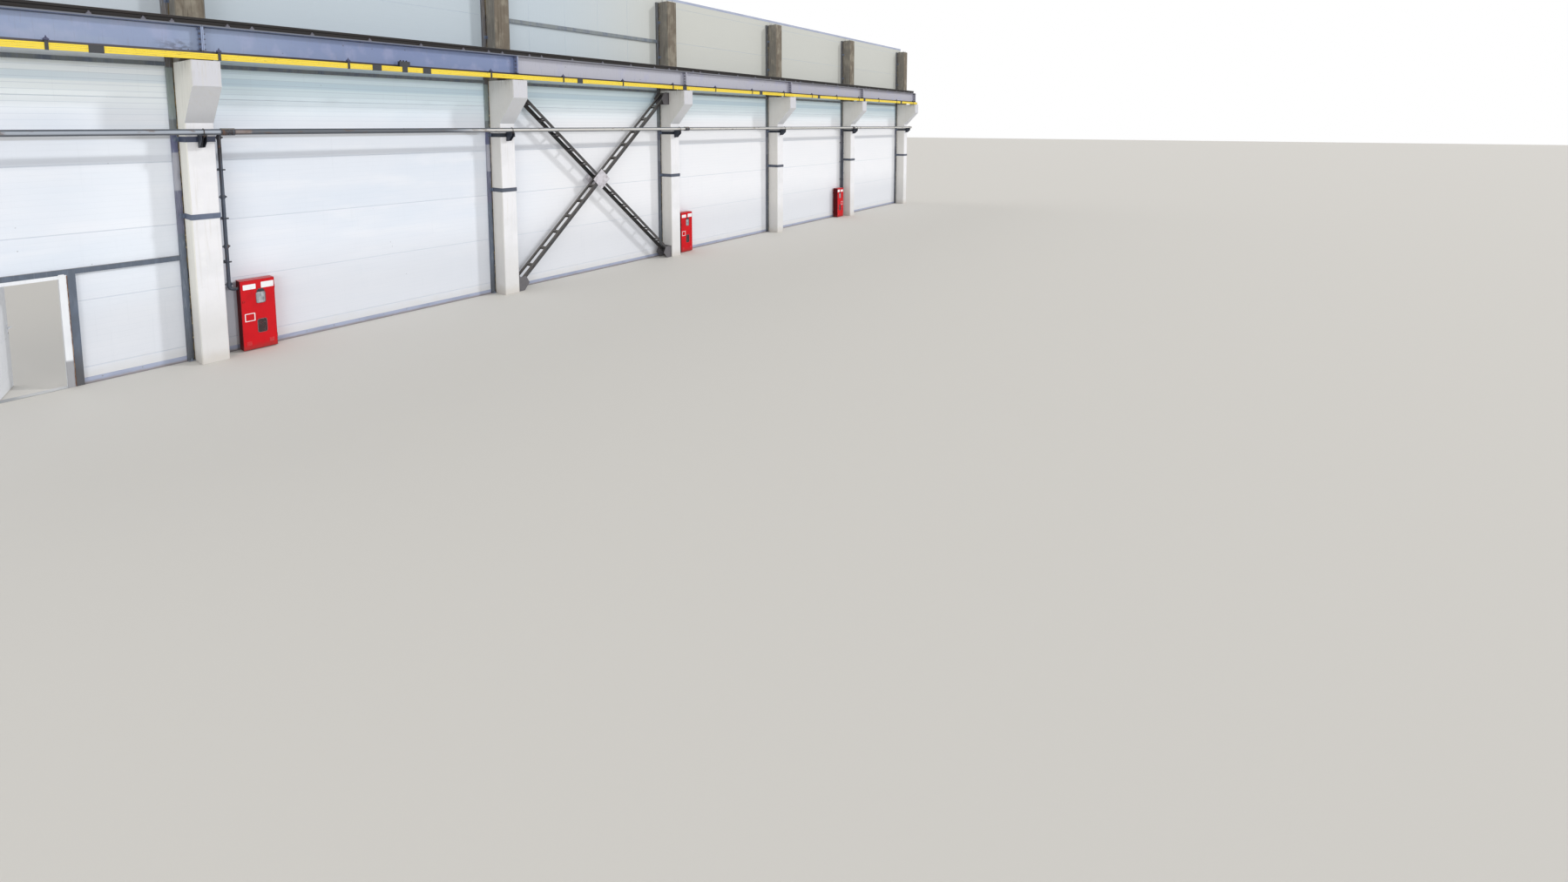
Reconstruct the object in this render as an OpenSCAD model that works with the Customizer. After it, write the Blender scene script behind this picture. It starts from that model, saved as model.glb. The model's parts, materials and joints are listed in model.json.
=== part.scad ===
// Long side wall of a crane hall, six bays from column to column.
// Precast columns with corbels carry a crane girder, its rail and the conductor bars. Sandwich
// panels hang on steel posts behind the columns, with one doorway, a fire main and three hose cabinets.
// +X runs along the wall, -Y points into the hall and the floor is at Z = 0.
// The origin is the centre of the middle column's foot.

/* [Grid] */
// Spacing of the columns along the wall
bay = 6000; // [5400:50:6600]

/* [Columns] */
// Width of a column along the wall
column_w = 400; // [360:10:460]
// Depth of a column below its corbel
column_d = 460; // [440:10:540]
// Depth of a column above its corbel
upper_d = 400; // [320:10:430]
// Height of a column above the floor
column_h = 8400; // [7800:100:9600]
// Height of the corbel's top
corbel_top = 5515; // [5250:5:6000]
// Reach of the corbel in front of the column
corbel_reach = 640; // [600:10:720]
// Height of the corbel's upright nose
corbel_nose = 445; // [260:5:500]
// Chamfer on the edges of a column
column_chamfer = 15; // [5:1:25]
// Thickness of the plate on a column's head
head_plate_t = 12; // [8:1:20]

/* [Crane girder] */
// Distance from the columns' centre line to the girder's web
girder_offset = 645; // [600:5:700]
// Height of the girder
girder_h = 490; // [400:10:800]
// Width of the girder's flanges
flange_w = 300; // [240:10:340]
// Thickness of the girder's flanges
flange_t = 24; // [12:1:28]
// Thickness of the girder's web
web_t = 12; // [8:1:16]
// Thickness of the plates at the girder's ends
end_plate_t = 16; // [10:1:24]
// Height of the bearing between the corbel and the girder
bearing_t = 125; // [80:5:160]
// Height of the crane rail
rail_h = 130; // [100:5:150]
// Width of the rail's foot
rail_foot_w = 120; // [100:5:130]
// Width of the rail's head
rail_head_w = 70; // [50:2:80]

/* [Conductor bars] */
// Number of bars, one over the other
bar_count = 4; // [3:1:4]
// Height of one bar
bar_h = 24; // [20:1:28]
// Depth of one bar
bar_d = 24; // [16:1:30]
// Gap between two bars
bar_gap = 3; // [2:1:8]
// Height of the lowest bar above the corbel's top
bar_rise = 15; // [10:1:20]
// Distance from the corbel's nose back to the bars' centre
bar_setback = 0; // [-20:2:20]
// Spacing of the hangers
hanger_pitch = 2020; // [1500:10:2600]
// Length of a joint sleeve on the bars
sleeve_l = 170; // [100:10:240]

/* [Wall panels] */
// Thickness of a sandwich panel
panel_t = 100; // [60:5:150]
// Height of a full panel
panel_module = 1150; // [800:10:1200]
// Top of the lowest panel
first_joint = 280; // [200:10:900]
// Gap under the panels
panel_clear = 20; // [10:2:40]
// Height of the panels over the columns' heads
wall_over = 230; // [100:10:500]
// Width of the groove at a panel joint
groove_w = 12; // [6:1:20]
// Depth of the groove at a panel joint
groove_d = 6; // [3:1:10]
// Width of the first of the upright panels over the braced bay
first_upright = 1045; // [300:5:1145]

/* [Steel posts and rails] */
// Width of a wall post
post_w = 100; // [80:5:140]
// Depth of the posts and rails between the columns and the panels
post_d = 60; // [50:5:100]
// Height of the rail at the corbels
girt_h = 75; // [60:5:120]
// Distance of that rail's foot below the corbels' top
girt_drop = 60; // [0:5:150]
// Height of the rail over the girder in the braced bay
upper_girt_h = 100; // [60:5:140]
// Distance of that upper rail below the columns' heads
upper_girt_drop = 1320; // [900:20:1700]
// Height of a strap round a column
strap_h = 100; // [60:5:140]
// Thickness of a strap
strap_t = 8; // [5:1:12]
// Middle of the lower straps
strap_z = 2730; // [2200:10:3200]
// Thickness of a flashing sheet
sheet_t = 3; // [2:0.5:5]
// Height of the flashing along the panels' foot
foot_flashing_h = 80; // [60:5:120]

/* [Doorway] */
// Distance from the second column's centre to the doorway
door_offset = 1810; // [1400:10:2400]
// Clear width of the doorway
door_w = 750; // [700:10:900]
// Clear height of the doorway
door_h = 1850; // [1800:10:2100]
// Width of the door frame's face
frame_w = 90; // [60:5:120]
// Height of the door frame's head
frame_head = 60; // [50:5:100]
// Height of the steel rail over the doorway
lintel_h = 90; // [60:5:120]
// Thickness of the door leaf
leaf_t = 40; // [35:1:50]
// Angle by which the door leaf stands open
leaf_open = 75; // [60:1:90]
// Gap round the door leaf
leaf_gap = 5; // [5:0.5:8]

/* [Fire main] */
// Outer diameter of the main
main_d = 108; // [88:2:140]
// Height of the main's axis
main_z = 4270; // [4000:10:4300]
// Distance from the columns' front to the main's axis
main_stand = 200; // [140:5:240]
// Outer diameter of a riser
riser_d = 60; // [48:2:76]
// Distance from a column's centre to its riser
riser_offset = 340; // [320:5:360]
// Height at which a riser turns into its cabinet
riser_low_z = 1240; // [1100:10:1260]

/* [Hose cabinets] */
// Width of a cabinet
cabinet_w = 540; // [500:10:700]
// Height of a cabinet
cabinet_h = 1370; // [1340:10:1600]
// Depth of a cabinet with its door
cabinet_d = 230; // [200:5:260]
// Distance from a column's centre to its cabinet
cabinet_offset = 470; // [460:5:600]
// Height of a cabinet's foot over the floor
cabinet_z = 15; // [10:1:60]
// Thickness of the cabinet's sheet
cabinet_t = 3; // [2:0.5:5]
// Depth of a cabinet door
cabinet_door_d = 18; // [14:1:25]
// Height of the shelf between the two compartments
shelf_z = 720; // [600:10:760]

/* [Cross bracing] */
// Height of the bracing's lower ends
brace_low = 150; // [120:10:300]
// Distance of the bracing's upper ends below the corbels' top
brace_drop = 65; // [0:5:200]
// Distance between the two branches of a diagonal
brace_spread = 340; // [260:10:400]
// Width of a branch's legs
brace_leg = 80; // [60:5:100]
// Thickness of a branch's legs
brace_t = 8; // [6:1:12]
// Spacing of the battens between the branches
batten_pitch = 600; // [400:20:900]
// Side of the gusset plate where the diagonals cross
gusset_side = 420; // [300:10:520]

/* [Hidden] */
$fn = 48;
bay_count = 6;
column_count = bay_count + 1;
braced_bay = 2;
cabinet_count = 3;
// Each cabinet's column, and the side of it on which the riser and the cabinet stand
cabinet_column = [1, 3, 5];
cabinet_side = [1, 1, -1];

function numbered(name, count) = [for (i = [1:count]) str(name, "_", i)];

function grid_x(i) = (i - bay_count / 2) * bay;

column_front = -column_d / 2;
column_rear = column_d / 2;
upper_front = column_rear - upper_d;
corbel_front = column_front - corbel_reach;
corbel_low = corbel_top - corbel_nose - corbel_reach;

panel_in = column_rear + post_d;
panel_out = panel_in + panel_t;
girt_z = corbel_top - girt_drop;
upper_girt_z = column_h - upper_girt_drop;
wall_end = bay_count * bay / 2 + column_w / 2 + post_w;
wall_top = column_h + wall_over;
bay_edge = column_w / 2 + post_w;

girder_y = -girder_offset;
girder_z = corbel_top + bearing_t;
girder_top = girder_z + girder_h;
flange_top = girder_z + flange_t;
flange_edge = girder_y - flange_w / 2;
girder_gap = 2;
rail_foot_t = rail_h * 0.1;
rail_haunch = rail_h * 0.24;
rail_web_w = rail_head_w * 0.55;
rail_head_h = rail_h * 0.34;
plate_len = 340;
plate_wide = 240;
plate_t = 20;
plate_step = 40;
tie_t = 12;
tie_w = 200;
tie_clear = 15;

bars_z = corbel_top + bar_rise;
bars_h = bar_count * bar_h + (bar_count - 1) * bar_gap;
bar_y = corbel_front + bar_setback;
clamp_t = 7;
clamp_w = 40;
seat = 0.3;
arm_t = 8;
jaw_l = 45;
jaw_clear = 1;
// Places of the hangers, the sleeves and the feed, from the second column's line
hanger_start = 190;
hanger_right_start = 5240;
sleeve_start = -1310;
sleeve_right_start = 3740;
feed_at = 3280;
feed_l = 210;
feed_h = 110;

door_right = grid_x(1) - door_offset;
door_left = door_right - door_w;
trim_top = door_h + frame_head;
rebate = 18;
leaf_left = door_left - rebate + leaf_gap;
leaf_right = door_right + rebate - leaf_gap;
leaf_top = door_h + rebate - leaf_gap;
leaf_foot = 10;
knuckle_r = 8;
knuckle_h = 45;
pin_r = 4;
pin_play = 0.08;
leaf_y = panel_out - leaf_t;
hinge_x = leaf_left - leaf_gap / 2;
hinge_y = panel_out + knuckle_r;
hinge_plate = 40;
hinge_heights = [250, door_h / 2, door_h - 200];
handle_z = 1020;
handle_inset = 60;
handle_l = 120;
handle_reach = 50;
handle_r = 9;
escutcheon = [40, 6, 160];

main_y = column_front - main_stand;
strap_under = 28;
strap_up_z = main_z - main_d / 2 - strap_h / 2 - strap_under;
bracket_w = 80;
bracket_t = 10;
bracket_drop = 230;
bend_r = 75;
tee_r = main_d / 2 + 12;
tee_l = 200;
coupling_l = 70;
coupling_r = riser_d / 2 + 8;
// Heights of the couplings between a riser's two bends
coupling_z = [riser_low_z + bend_r, 2050, 3000, main_z - bend_r - coupling_l];

cabinet_rear = panel_in - post_d;
cabinet_front = cabinet_rear - cabinet_d;
riser_y = (cabinet_front + cabinet_rear) / 2;
door_gap = 5;
body_front = cabinet_front + cabinet_door_d + door_gap;
cabinet_pin_x = 6;
cabinet_hinge_t = 3;
cabinet_hinge_l = 40;
cabinet_pin_y = cabinet_front + cabinet_door_d + door_gap / 2;
cabinet_knuckle_r = 5;
cabinet_knuckle_h = 40;
cabinet_pin_r = 2.5;
window_w = 140;
window_r = 30;
window_down = 470;
window_up_z = cabinet_h - window_down;
window_up_h = 215;
window_low_z = 315;
window_low_h = 260;
window_rim = 8;
window_x = cabinet_w * 0.45;
knob = [40, 14, 12];
rail_inset = 60;
rail_heights = [180, cabinet_h - 260];

brace_high = corbel_top - brace_drop;
brace_run = bay - column_w;
brace_rise = brace_high - brace_low;
brace_angle = atan(brace_rise / brace_run);
brace_l = norm([brace_run, brace_rise]);
brace_end_clear = 70;
batten_w = 60;
cross_clear = 12;
brace_cross_gap = brace_leg / 2 + cross_clear;
end_plate_h = 380;
end_gusset_l = 330;
end_base_t = 12;

concrete_paint = "#e6e3dc";
steel_blue = "#5f6b7d";
girder_paint = "#a3a9c4";
panel_white = "#e3e8f2";
red_paint = "#c8101c";

// Extrudes a profile drawn in the (Y, Z) plane from x0 to x1.
module along_x(x0, x1) {
    translate([x0, 0, 0])
        rotate([90, 0, 90])
            linear_extrude(x1 - x0)
                children();
}

// A box from its two opposite corners.
module block(low, high) {
    translate(low)
        cube(high - low);
}

// An upright shaft with chamfered edges, from y0 to y1 and z0 to z1.
module shaft(w, y0, y1, z0, z1, c = column_chamfer) {
    translate([0, 0, z0])
        linear_extrude(z1 - z0)
            polygon([
                [-w / 2 + c, y0], [w / 2 - c, y0], [w / 2, y0 + c], [w / 2, y1 - c],
                [w / 2 - c, y1], [-w / 2 + c, y1], [-w / 2, y1 - c], [-w / 2, y0 + c]
            ]);
}

// A straight round bar from one point to another along one axis.
module rod(r, from, to) {
    d = to - from;
    translate(from)
        rotate(d.x != 0 ? [0, d.x > 0 ? 90 : -90, 0] : d.y != 0 ? [d.y > 0 ? -90 : 90, 0, 0] : [d.z > 0 ? 0 : 180, 0, 0])
            cylinder(h = norm(d), r = r);
}

// Precast column: a deep lower shaft, a thinner upper shaft and the corbel.
module column(i) {
    inside = column_front + 2 * column_chamfer;
    color(concrete_paint)
        translate([grid_x(i), 0, 0]) {
            shaft(column_w, column_front, column_rear, 0, corbel_top);
            shaft(column_w, upper_front, column_rear, corbel_top, column_h);
            intersection() {
                along_x(-column_w / 2, column_w / 2)
                    polygon([
                        [inside, corbel_top], [corbel_front, corbel_top],
                        [corbel_front, corbel_top - corbel_nose], [column_front, corbel_low],
                        [inside, corbel_low]
                    ]);
                shaft(column_w, corbel_front, column_rear, corbel_low, corbel_top);
            }
        }
}

// Bearing on a corbel: a block between two wider plates.
module bearing() {
    reach = plate_len / 2;
    waist = reach - plate_step;
    low = corbel_top + plate_t;
    high = girder_z - plate_t;
    translate([0, girder_y, 0])
        along_x(-plate_wide / 2, plate_wide / 2)
            polygon([
                [-reach, corbel_top], [reach, corbel_top], [reach, low], [waist, low], [waist, high],
                [reach, high], [reach, girder_z], [-reach, girder_z], [-reach, high], [-waist, high],
                [-waist, low], [-reach, low]
            ]);
}

// Bearings under the girder, plates over it back to the shaft, and plates on the columns' heads.
module column_plates() {
    color(steel_blue)
        for (i = [0:bay_count])
            translate([grid_x(i), 0, 0]) {
                bearing();
                block([-tie_w / 2, girder_y + rail_foot_w / 2 + tie_clear, girder_top],
                      [tie_w / 2, upper_front, girder_top + tie_t]);
                block([-column_w / 2 + 2 * column_chamfer, upper_front + 2 * column_chamfer, column_h],
                      [column_w / 2 - 2 * column_chamfer, column_rear - 2 * column_chamfer,
                       column_h + head_plate_t]);
            }
}

// A flat bar bent round the column's front and sides, with its ends on the wall posts.
module strap(z) {
    x_out = column_w / 2 + strap_t;
    translate([0, 0, z - strap_h / 2])
        linear_extrude(strap_h)
            polygon([
                [-x_out, column_rear], [-x_out, column_front - strap_t], [x_out, column_front - strap_t],
                [x_out, column_rear], [column_w / 2, column_rear], [column_w / 2, column_front],
                [-column_w / 2, column_front], [-column_w / 2, column_rear]
            ]);
}

module column_straps() {
    color(steel_blue)
        for (i = [0:bay_count], z = [strap_z, strap_up_z])
            translate([grid_x(i), 0, 0])
                strap(z);
}

// Welded plate girder between two columns, with a plate at each end.
module crane_girder(i) {
    x0 = grid_x(i) + girder_gap;
    x1 = grid_x(i + 1) - girder_gap;
    f = flange_w / 2;
    w = web_t / 2;
    color(girder_paint)
        translate([0, girder_y, girder_z]) {
            along_x(x0, x1)
                polygon([
                    [-f, 0], [f, 0], [f, flange_t], [w, flange_t],
                    [w, girder_h - flange_t], [f, girder_h - flange_t], [f, girder_h], [-f, girder_h],
                    [-f, girder_h - flange_t], [-w, girder_h - flange_t], [-w, flange_t], [-f, flange_t]
                ]);
            for (x = [x0, x1 - end_plate_t])
                block([x, -f, 0], [x + end_plate_t, f, girder_h]);
        }
}

// Crane rail: flat foot, haunched web and a rounded head.
module crane_rail() {
    foot = rail_foot_w / 2;
    web = rail_web_w / 2;
    head = rail_head_w / 2;
    under = rail_h - rail_head_h;
    crown = rail_h * 0.06;
    color("#4a4340")
        translate([0, girder_y, girder_top])
            along_x(grid_x(0), grid_x(bay_count))
                polygon([
                    [-foot, 0], [foot, 0], [foot, rail_foot_t], [web, rail_haunch], [web, under - crown],
                    [head, under], [head, rail_h - crown], [head - crown, rail_h], [crown - head, rail_h],
                    [-head, rail_h - crown], [-head, under], [-web, under - crown], [-web, rail_haunch],
                    [-foot, rail_foot_t]
                ]);
}

module conductor_bars() {
    color("#f0d53a")
        for (k = [0:bar_count - 1])
            block([grid_x(0), bar_y - bar_d / 2, bars_z + k * (bar_h + bar_gap)],
                  [grid_x(bay_count), bar_y + bar_d / 2, bars_z + k * (bar_h + bar_gap) + bar_h]);
}

// A ring that holds the bars together over a length of the run.
module bar_ring(len) {
    y0 = bar_y - bar_d / 2;
    y1 = bar_y + bar_d / 2;
    difference() {
        block([-len / 2, y0 - clamp_t, bars_z - clamp_t], [len / 2, y1 + clamp_t, bars_z + bars_h + clamp_t]);
        block([-len / 2 - 1, y0 - seat, bars_z - seat], [len / 2 + 1, y1 + seat, bars_z + bars_h + seat]);
    }
}

// Hanger: a ring, a short upright and a clamp on the edge of the girder's lower flange.
module hanger() {
    half = clamp_w / 2;
    top = bars_z + bars_h + clamp_t;
    back = flange_edge - jaw_clear;
    bite = flange_edge + jaw_l;
    bar_ring(clamp_w);
    block([-half, bar_y - arm_t / 2, top - 1], [half, bar_y + arm_t / 2, flange_top + arm_t]);
    block([-half, bar_y - arm_t / 2, flange_top], [half, bite, flange_top + arm_t]);
    block([-half, back - arm_t, girder_z - arm_t], [half, back, flange_top + 1]);
    block([-half, back - arm_t, girder_z - arm_t], [half, bite, girder_z]);
}

function run(start, end, pitch) = [for (x = [start:pitch:end]) x];
run_low = grid_x(0) + 100;
run_high = grid_x(bay_count) - 100;
line_x = grid_x(1);
hangers_left = [for (k = [-2:1]) line_x + hanger_start + k * hanger_pitch];
hangers_right = run(line_x + hanger_right_start, run_high, hanger_pitch);
sleeves_left = [for (k = [-1:1]) line_x + sleeve_start + k * 2 * hanger_pitch];
sleeves_right = run(line_x + sleeve_right_start, run_high, 2 * hanger_pitch);

module conductor_fittings() {
    feed_x = line_x + feed_at;
    top = bars_z + bars_h + clamp_t;
    color("#23262c") {
        for (x = concat(hangers_left, hangers_right))
            if (x > run_low && x < run_high)
                translate([x, 0, 0])
                    hanger();
        for (x = concat(sleeves_left, sleeves_right))
            if (x > run_low && x < run_high)
                translate([x, 0, 0])
                    bar_ring(sleeve_l);
        translate([feed_x, 0, 0]) {
            bar_ring(feed_l / 2);
            block([-feed_l / 2, bar_y - bar_d / 2 - clamp_t, top - 1],
                  [feed_l / 2, flange_edge - jaw_clear, top + feed_h]);
            block([-clamp_w, flange_edge - jaw_clear - 1, flange_top],
                  [clamp_w, flange_edge + jaw_l, flange_top + arm_t]);
        }
    }
}

// The two posts behind each column's sides.
module wall_posts() {
    color(steel_blue)
        for (i = [0:bay_count], side = [-1, 1])
            translate([grid_x(i) + side * (column_w + post_w) / 2, 0, 0])
                block([-post_w / 2, column_rear, 0], [post_w / 2, panel_in, column_h]);
}

// Rails between the posts at the corbels, and one over the girder in the braced bay.
module wall_girts() {
    color(steel_blue) {
        for (i = [0:bay_count - 1])
            block([grid_x(i) + bay_edge, column_rear, girt_z],
                  [grid_x(i + 1) - bay_edge, panel_in, girt_z + girt_h]);
        block([grid_x(braced_bay) + bay_edge, column_rear, upper_girt_z],
              [grid_x(braced_bay + 1) - bay_edge, panel_in, upper_girt_z + upper_girt_h]);
    }
}

// Steel posts beside the doorway, welded under a rail that runs from wall post to wall post.
module door_trimmers() {
    color(steel_blue) {
        for (x = [door_left - frame_w - post_w, door_right + frame_w])
            block([x, column_rear, 0], [x + post_w, panel_in, trim_top]);
        block([grid_x(0) + bay_edge, column_rear, trim_top],
              [grid_x(1) - bay_edge, panel_in, trim_top + lintel_h]);
    }
}

// Levels of the panel joints between two heights.
function joints_between(z0, z1) =
    [for (z = [first_joint:panel_module:wall_top]) if (z > z0 + 2 * groove_w && z < z1 - 2 * groove_w) z];

// One side of a panel stack, upwards, with a notch at each joint. depth points into the panel.
function notched_side(y, z0, z1, depth) = concat(
    [[y, z0]],
    [for (z = joints_between(z0, z1), p = [[0, -groove_w / 2], [depth, 0], [0, groove_w / 2]]) [y + p.x, z + p.y]],
    [[y, z1]]
);

function reversed(list) = [for (i = [len(list) - 1:-1:0]) list[i]];

// Panels laid lengthways, from x0 to x1 and z0 to z1.
module panel_stack(x0, x1, z0, z1) {
    color(panel_white)
        along_x(x0, x1)
            polygon(concat(
                notched_side(panel_in, z0, z1, groove_d),
                reversed(notched_side(panel_out, z0, z1, -groove_d))
            ));
}

// Panels set upright, with their joints running up the wall.
module upright_panels(x0, x1, z0, z1) {
    xs = [for (x = [x0 + first_upright:panel_module:x1 - panel_module / 2]) x];
    color(panel_white)
        translate([0, 0, z0])
            linear_extrude(z1 - z0)
                polygon(concat(
                    [[x0, panel_in]],
                    [for (x = xs, p = [[-groove_w / 2, 0], [0, groove_d], [groove_w / 2, 0]]) [x + p.x, panel_in + p.y]],
                    [[x1, panel_in], [x1, panel_out]],
                    [for (x = reversed(xs), p = [[groove_w / 2, 0], [0, -groove_d], [-groove_w / 2, 0]])
                        [x + p.x, panel_out + p.y]],
                    [[x0, panel_out]]
                ));
}

butt = 5;
function panel_start(i) = i == 0 ? -wall_end : grid_x(i) + butt;
function panel_stop(i) = i == bay_count - 1 ? wall_end : grid_x(i + 1) - butt;

module panels_bay_1_left() {
    panel_stack(panel_start(0), door_left - frame_w, panel_clear, trim_top);
}

module panels_bay_1_right() {
    panel_stack(door_right + frame_w, panel_stop(0), panel_clear, trim_top);
}

module panels_bay_1_over() {
    panel_stack(panel_start(0), panel_stop(0), trim_top, wall_top);
}

module panels_bay(i) {
    change = girt_z + girt_h / 2;
    if (i == braced_bay) {
        panel_stack(panel_start(i), panel_stop(i), panel_clear, change);
        upright_panels(panel_start(i), panel_stop(i), change, wall_top);
    } else {
        panel_stack(panel_start(i), panel_stop(i), panel_clear, wall_top);
    }
}

// Angle of sheet along the foot of the panels, on the hall side.
module foot_flashing() {
    spans = concat(
        [[grid_x(0) + bay_edge, door_left - frame_w - post_w], [door_right + frame_w + post_w, grid_x(1) - bay_edge]],
        [for (i = [1:bay_count - 1]) [grid_x(i) + bay_edge, grid_x(i + 1) - bay_edge]]
    );
    color("#a9b0c8")
        for (s = spans)
            along_x(s[0], s[1])
                polygon([
                    [panel_in, panel_clear + foot_flashing_h], [panel_in - sheet_t, panel_clear + foot_flashing_h],
                    [panel_in - sheet_t, sheet_t], [column_rear, sheet_t], [column_rear, 0], [panel_in, 0]
                ]);
}

// Sheet work outside: drip along the foot, cover strips at the columns and the cap on the wall.
module outer_flashings() {
    strip = 150;
    drip = 30;
    cap_drop = 80;
    foot_z = panel_clear + foot_flashing_h;
    color("#8f98ab") {
        for (s = [[-wall_end, door_left - frame_w], [door_right + frame_w, wall_end]])
            along_x(s[0], s[1])
                polygon([
                    [panel_out, foot_z], [panel_out, panel_clear - sheet_t], [panel_out + drip, 0],
                    [panel_out + drip + sheet_t, sheet_t], [panel_out + sheet_t, panel_clear],
                    [panel_out + sheet_t, foot_z]
                ]);
        for (i = [0:bay_count])
            block([max(-wall_end, grid_x(i) - strip), panel_out, foot_z],
                  [min(wall_end, grid_x(i) + strip), panel_out + sheet_t, wall_top - cap_drop]);
        along_x(-wall_end, wall_end)
            polygon([
                [panel_in - sheet_t, wall_top - cap_drop], [panel_in, wall_top - cap_drop],
                [panel_in, wall_top], [panel_out, wall_top], [panel_out, wall_top - cap_drop],
                [panel_out + sheet_t, wall_top - cap_drop], [panel_out + sheet_t, wall_top + sheet_t],
                [panel_in - sheet_t, wall_top + sheet_t]
            ]);
    }
}

// Door frame through the wall's whole depth, rebated on the outside for the leaf.
module door_frame() {
    color("#eef0f4") {
        difference() {
            block([door_left - frame_w, column_rear, 0], [door_right + frame_w, panel_out, trim_top]);
            block([door_left, column_rear - 1, -1], [door_right, panel_out + 1, door_h]);
            block([door_left - rebate, leaf_y - leaf_gap, -1], [door_right + rebate, panel_out + 1, door_h + rebate]);
        }
        for (z = hinge_heights)
            translate([hinge_x, hinge_y, z - knuckle_h]) {
                cylinder(h = knuckle_h, r = knuckle_r);
                cylinder(h = 1.8 * knuckle_h, r = pin_r);
                block([-hinge_plate, -knuckle_r, 0], [-1, -knuckle_r + 4, knuckle_h]);
            }
    }
}

// The leaf as it hangs when shut.
module shut_leaf() {
    handle_x = leaf_right - handle_inset;
    bar_at = handle_reach - handle_r - 2;
    difference() {
        union() {
            block([leaf_left, leaf_y, leaf_foot], [leaf_right, panel_out, leaf_top]);
            for (z = hinge_heights)
                translate([hinge_x, hinge_y, z + 1]) {
                    cylinder(h = knuckle_h, r = knuckle_r);
                    block([0, -knuckle_r - 1, 0], [hinge_plate, -knuckle_r + 4, knuckle_h]);
                }
        }
        for (z = hinge_heights)
            translate([hinge_x, hinge_y, z])
                cylinder(h = knuckle_h + 2, r = pin_r + pin_play);
    }
    for (side = [-1, 1]) {
        face = side < 0 ? leaf_y : panel_out;
        rod(handle_r + 3, [handle_x, face - side * 2, handle_z], [handle_x, face + side * handle_reach, handle_z]);
        rod(handle_r, [handle_x, face + side * bar_at, handle_z],
            [handle_x - handle_l, face + side * bar_at, handle_z]);
        translate([handle_x, face + side * escutcheon.y / 2, handle_z - escutcheon.z / 5])
            cube(escutcheon, center = true);
    }
}

module door_leaf() {
    color("#f2f4f7")
        translate([hinge_x, hinge_y, 0])
            rotate([0, 0, leaf_open])
                translate([-hinge_x, -hinge_y, 0])
                    shut_leaf();
}

// The main along the columns, with a domed cap at each end.
module fire_main() {
    cap = 30;
    color("#8b9099")
        translate([0, main_y, main_z])
            rotate([0, 90, 0])
                rotate_extrude()
                    polygon([
                        [0, -wall_end], [main_d * 0.3, -wall_end], [main_d / 2, -wall_end + cap],
                        [main_d / 2, wall_end - cap], [main_d * 0.3, wall_end], [0, wall_end]
                    ]);
}

// Bracket under the main at each column: an upright, a shelf and a triangular web.
module main_brackets() {
    back = column_front - strap_t;
    shelf = main_z - main_d / 2;
    nose = main_y - main_d / 2;
    color("#2a3038")
        for (i = [0:bay_count])
            translate([grid_x(i), 0, 0]) {
                block([-bracket_w / 2, back - bracket_t, shelf - bracket_drop], [bracket_w / 2, back, shelf]);
                block([-bracket_w / 2, nose, shelf - bracket_t], [bracket_w / 2, back, shelf]);
                along_x(-bracket_t / 2, bracket_t / 2)
                    polygon([
                        [back - bracket_t, shelf - bracket_drop], [back - bracket_t, shelf - bracket_t],
                        [nose + bracket_t, shelf - bracket_t]
                    ]);
            }
}

// A quarter bend in the (X, Y) plane about the origin, from the X axis to the Y axis.
module bend() {
    rotate_extrude(angle = 90)
        translate([bend_r, 0])
            circle(r = riser_d / 2);
}

// Pipe from a tee on the main back to the wall, down beside the column and into the cabinet.
module riser(side) {
    x = side * riser_offset;
    into = side * (cabinet_offset - seat);
    r = riser_d / 2;
    difference() {
        union() {
            rod(tee_r, [x - tee_l / 2, main_y, main_z], [x + tee_l / 2, main_y, main_z]);
            rod(coupling_r, [x, main_y, main_z], [x, main_y + tee_r + coupling_l / 2, main_z]);
        }
        rod(main_d / 2 + seat, [x - tee_l, main_y, main_z], [x + tee_l, main_y, main_z]);
    }
    rod(r, [x, main_y + tee_r, main_z], [x, riser_y - bend_r, main_z]);
    translate([x, riser_y - bend_r, main_z - bend_r])
        rotate([90, 0, 90])
            bend();
    rod(r, [x, riser_y, main_z - bend_r], [x, riser_y, riser_low_z + bend_r]);
    for (z = coupling_z)
        rod(coupling_r, [x, riser_y, z], [x, riser_y, z + coupling_l]);
    translate([x + side * bend_r, riser_y, riser_low_z + bend_r])
        rotate([90, side > 0 ? 180 : 90, 0])
            bend();
    rod(r, [x + side * bend_r, riser_y, riser_low_z], [into, riser_y, riser_low_z]);
}

module fire_risers() {
    color("#3c4148")
        for (k = [0:cabinet_count - 1])
            translate([grid_x(cabinet_column[k]), 0, 0])
                riser(cabinet_side[k]);
}

// Moves and mirrors a cabinet, drawn from x = 0 with its inlet there, to its column.
module at_cabinet(k) {
    translate([grid_x(cabinet_column[k]) + cabinet_side[k] * cabinet_offset, 0, cabinet_z])
        mirror([cabinet_side[k] < 0 ? 1 : 0, 0, 0])
            children();
}

cabinet_hinge_z = [150, cabinet_h - 150 - 2 * cabinet_knuckle_h];

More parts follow.
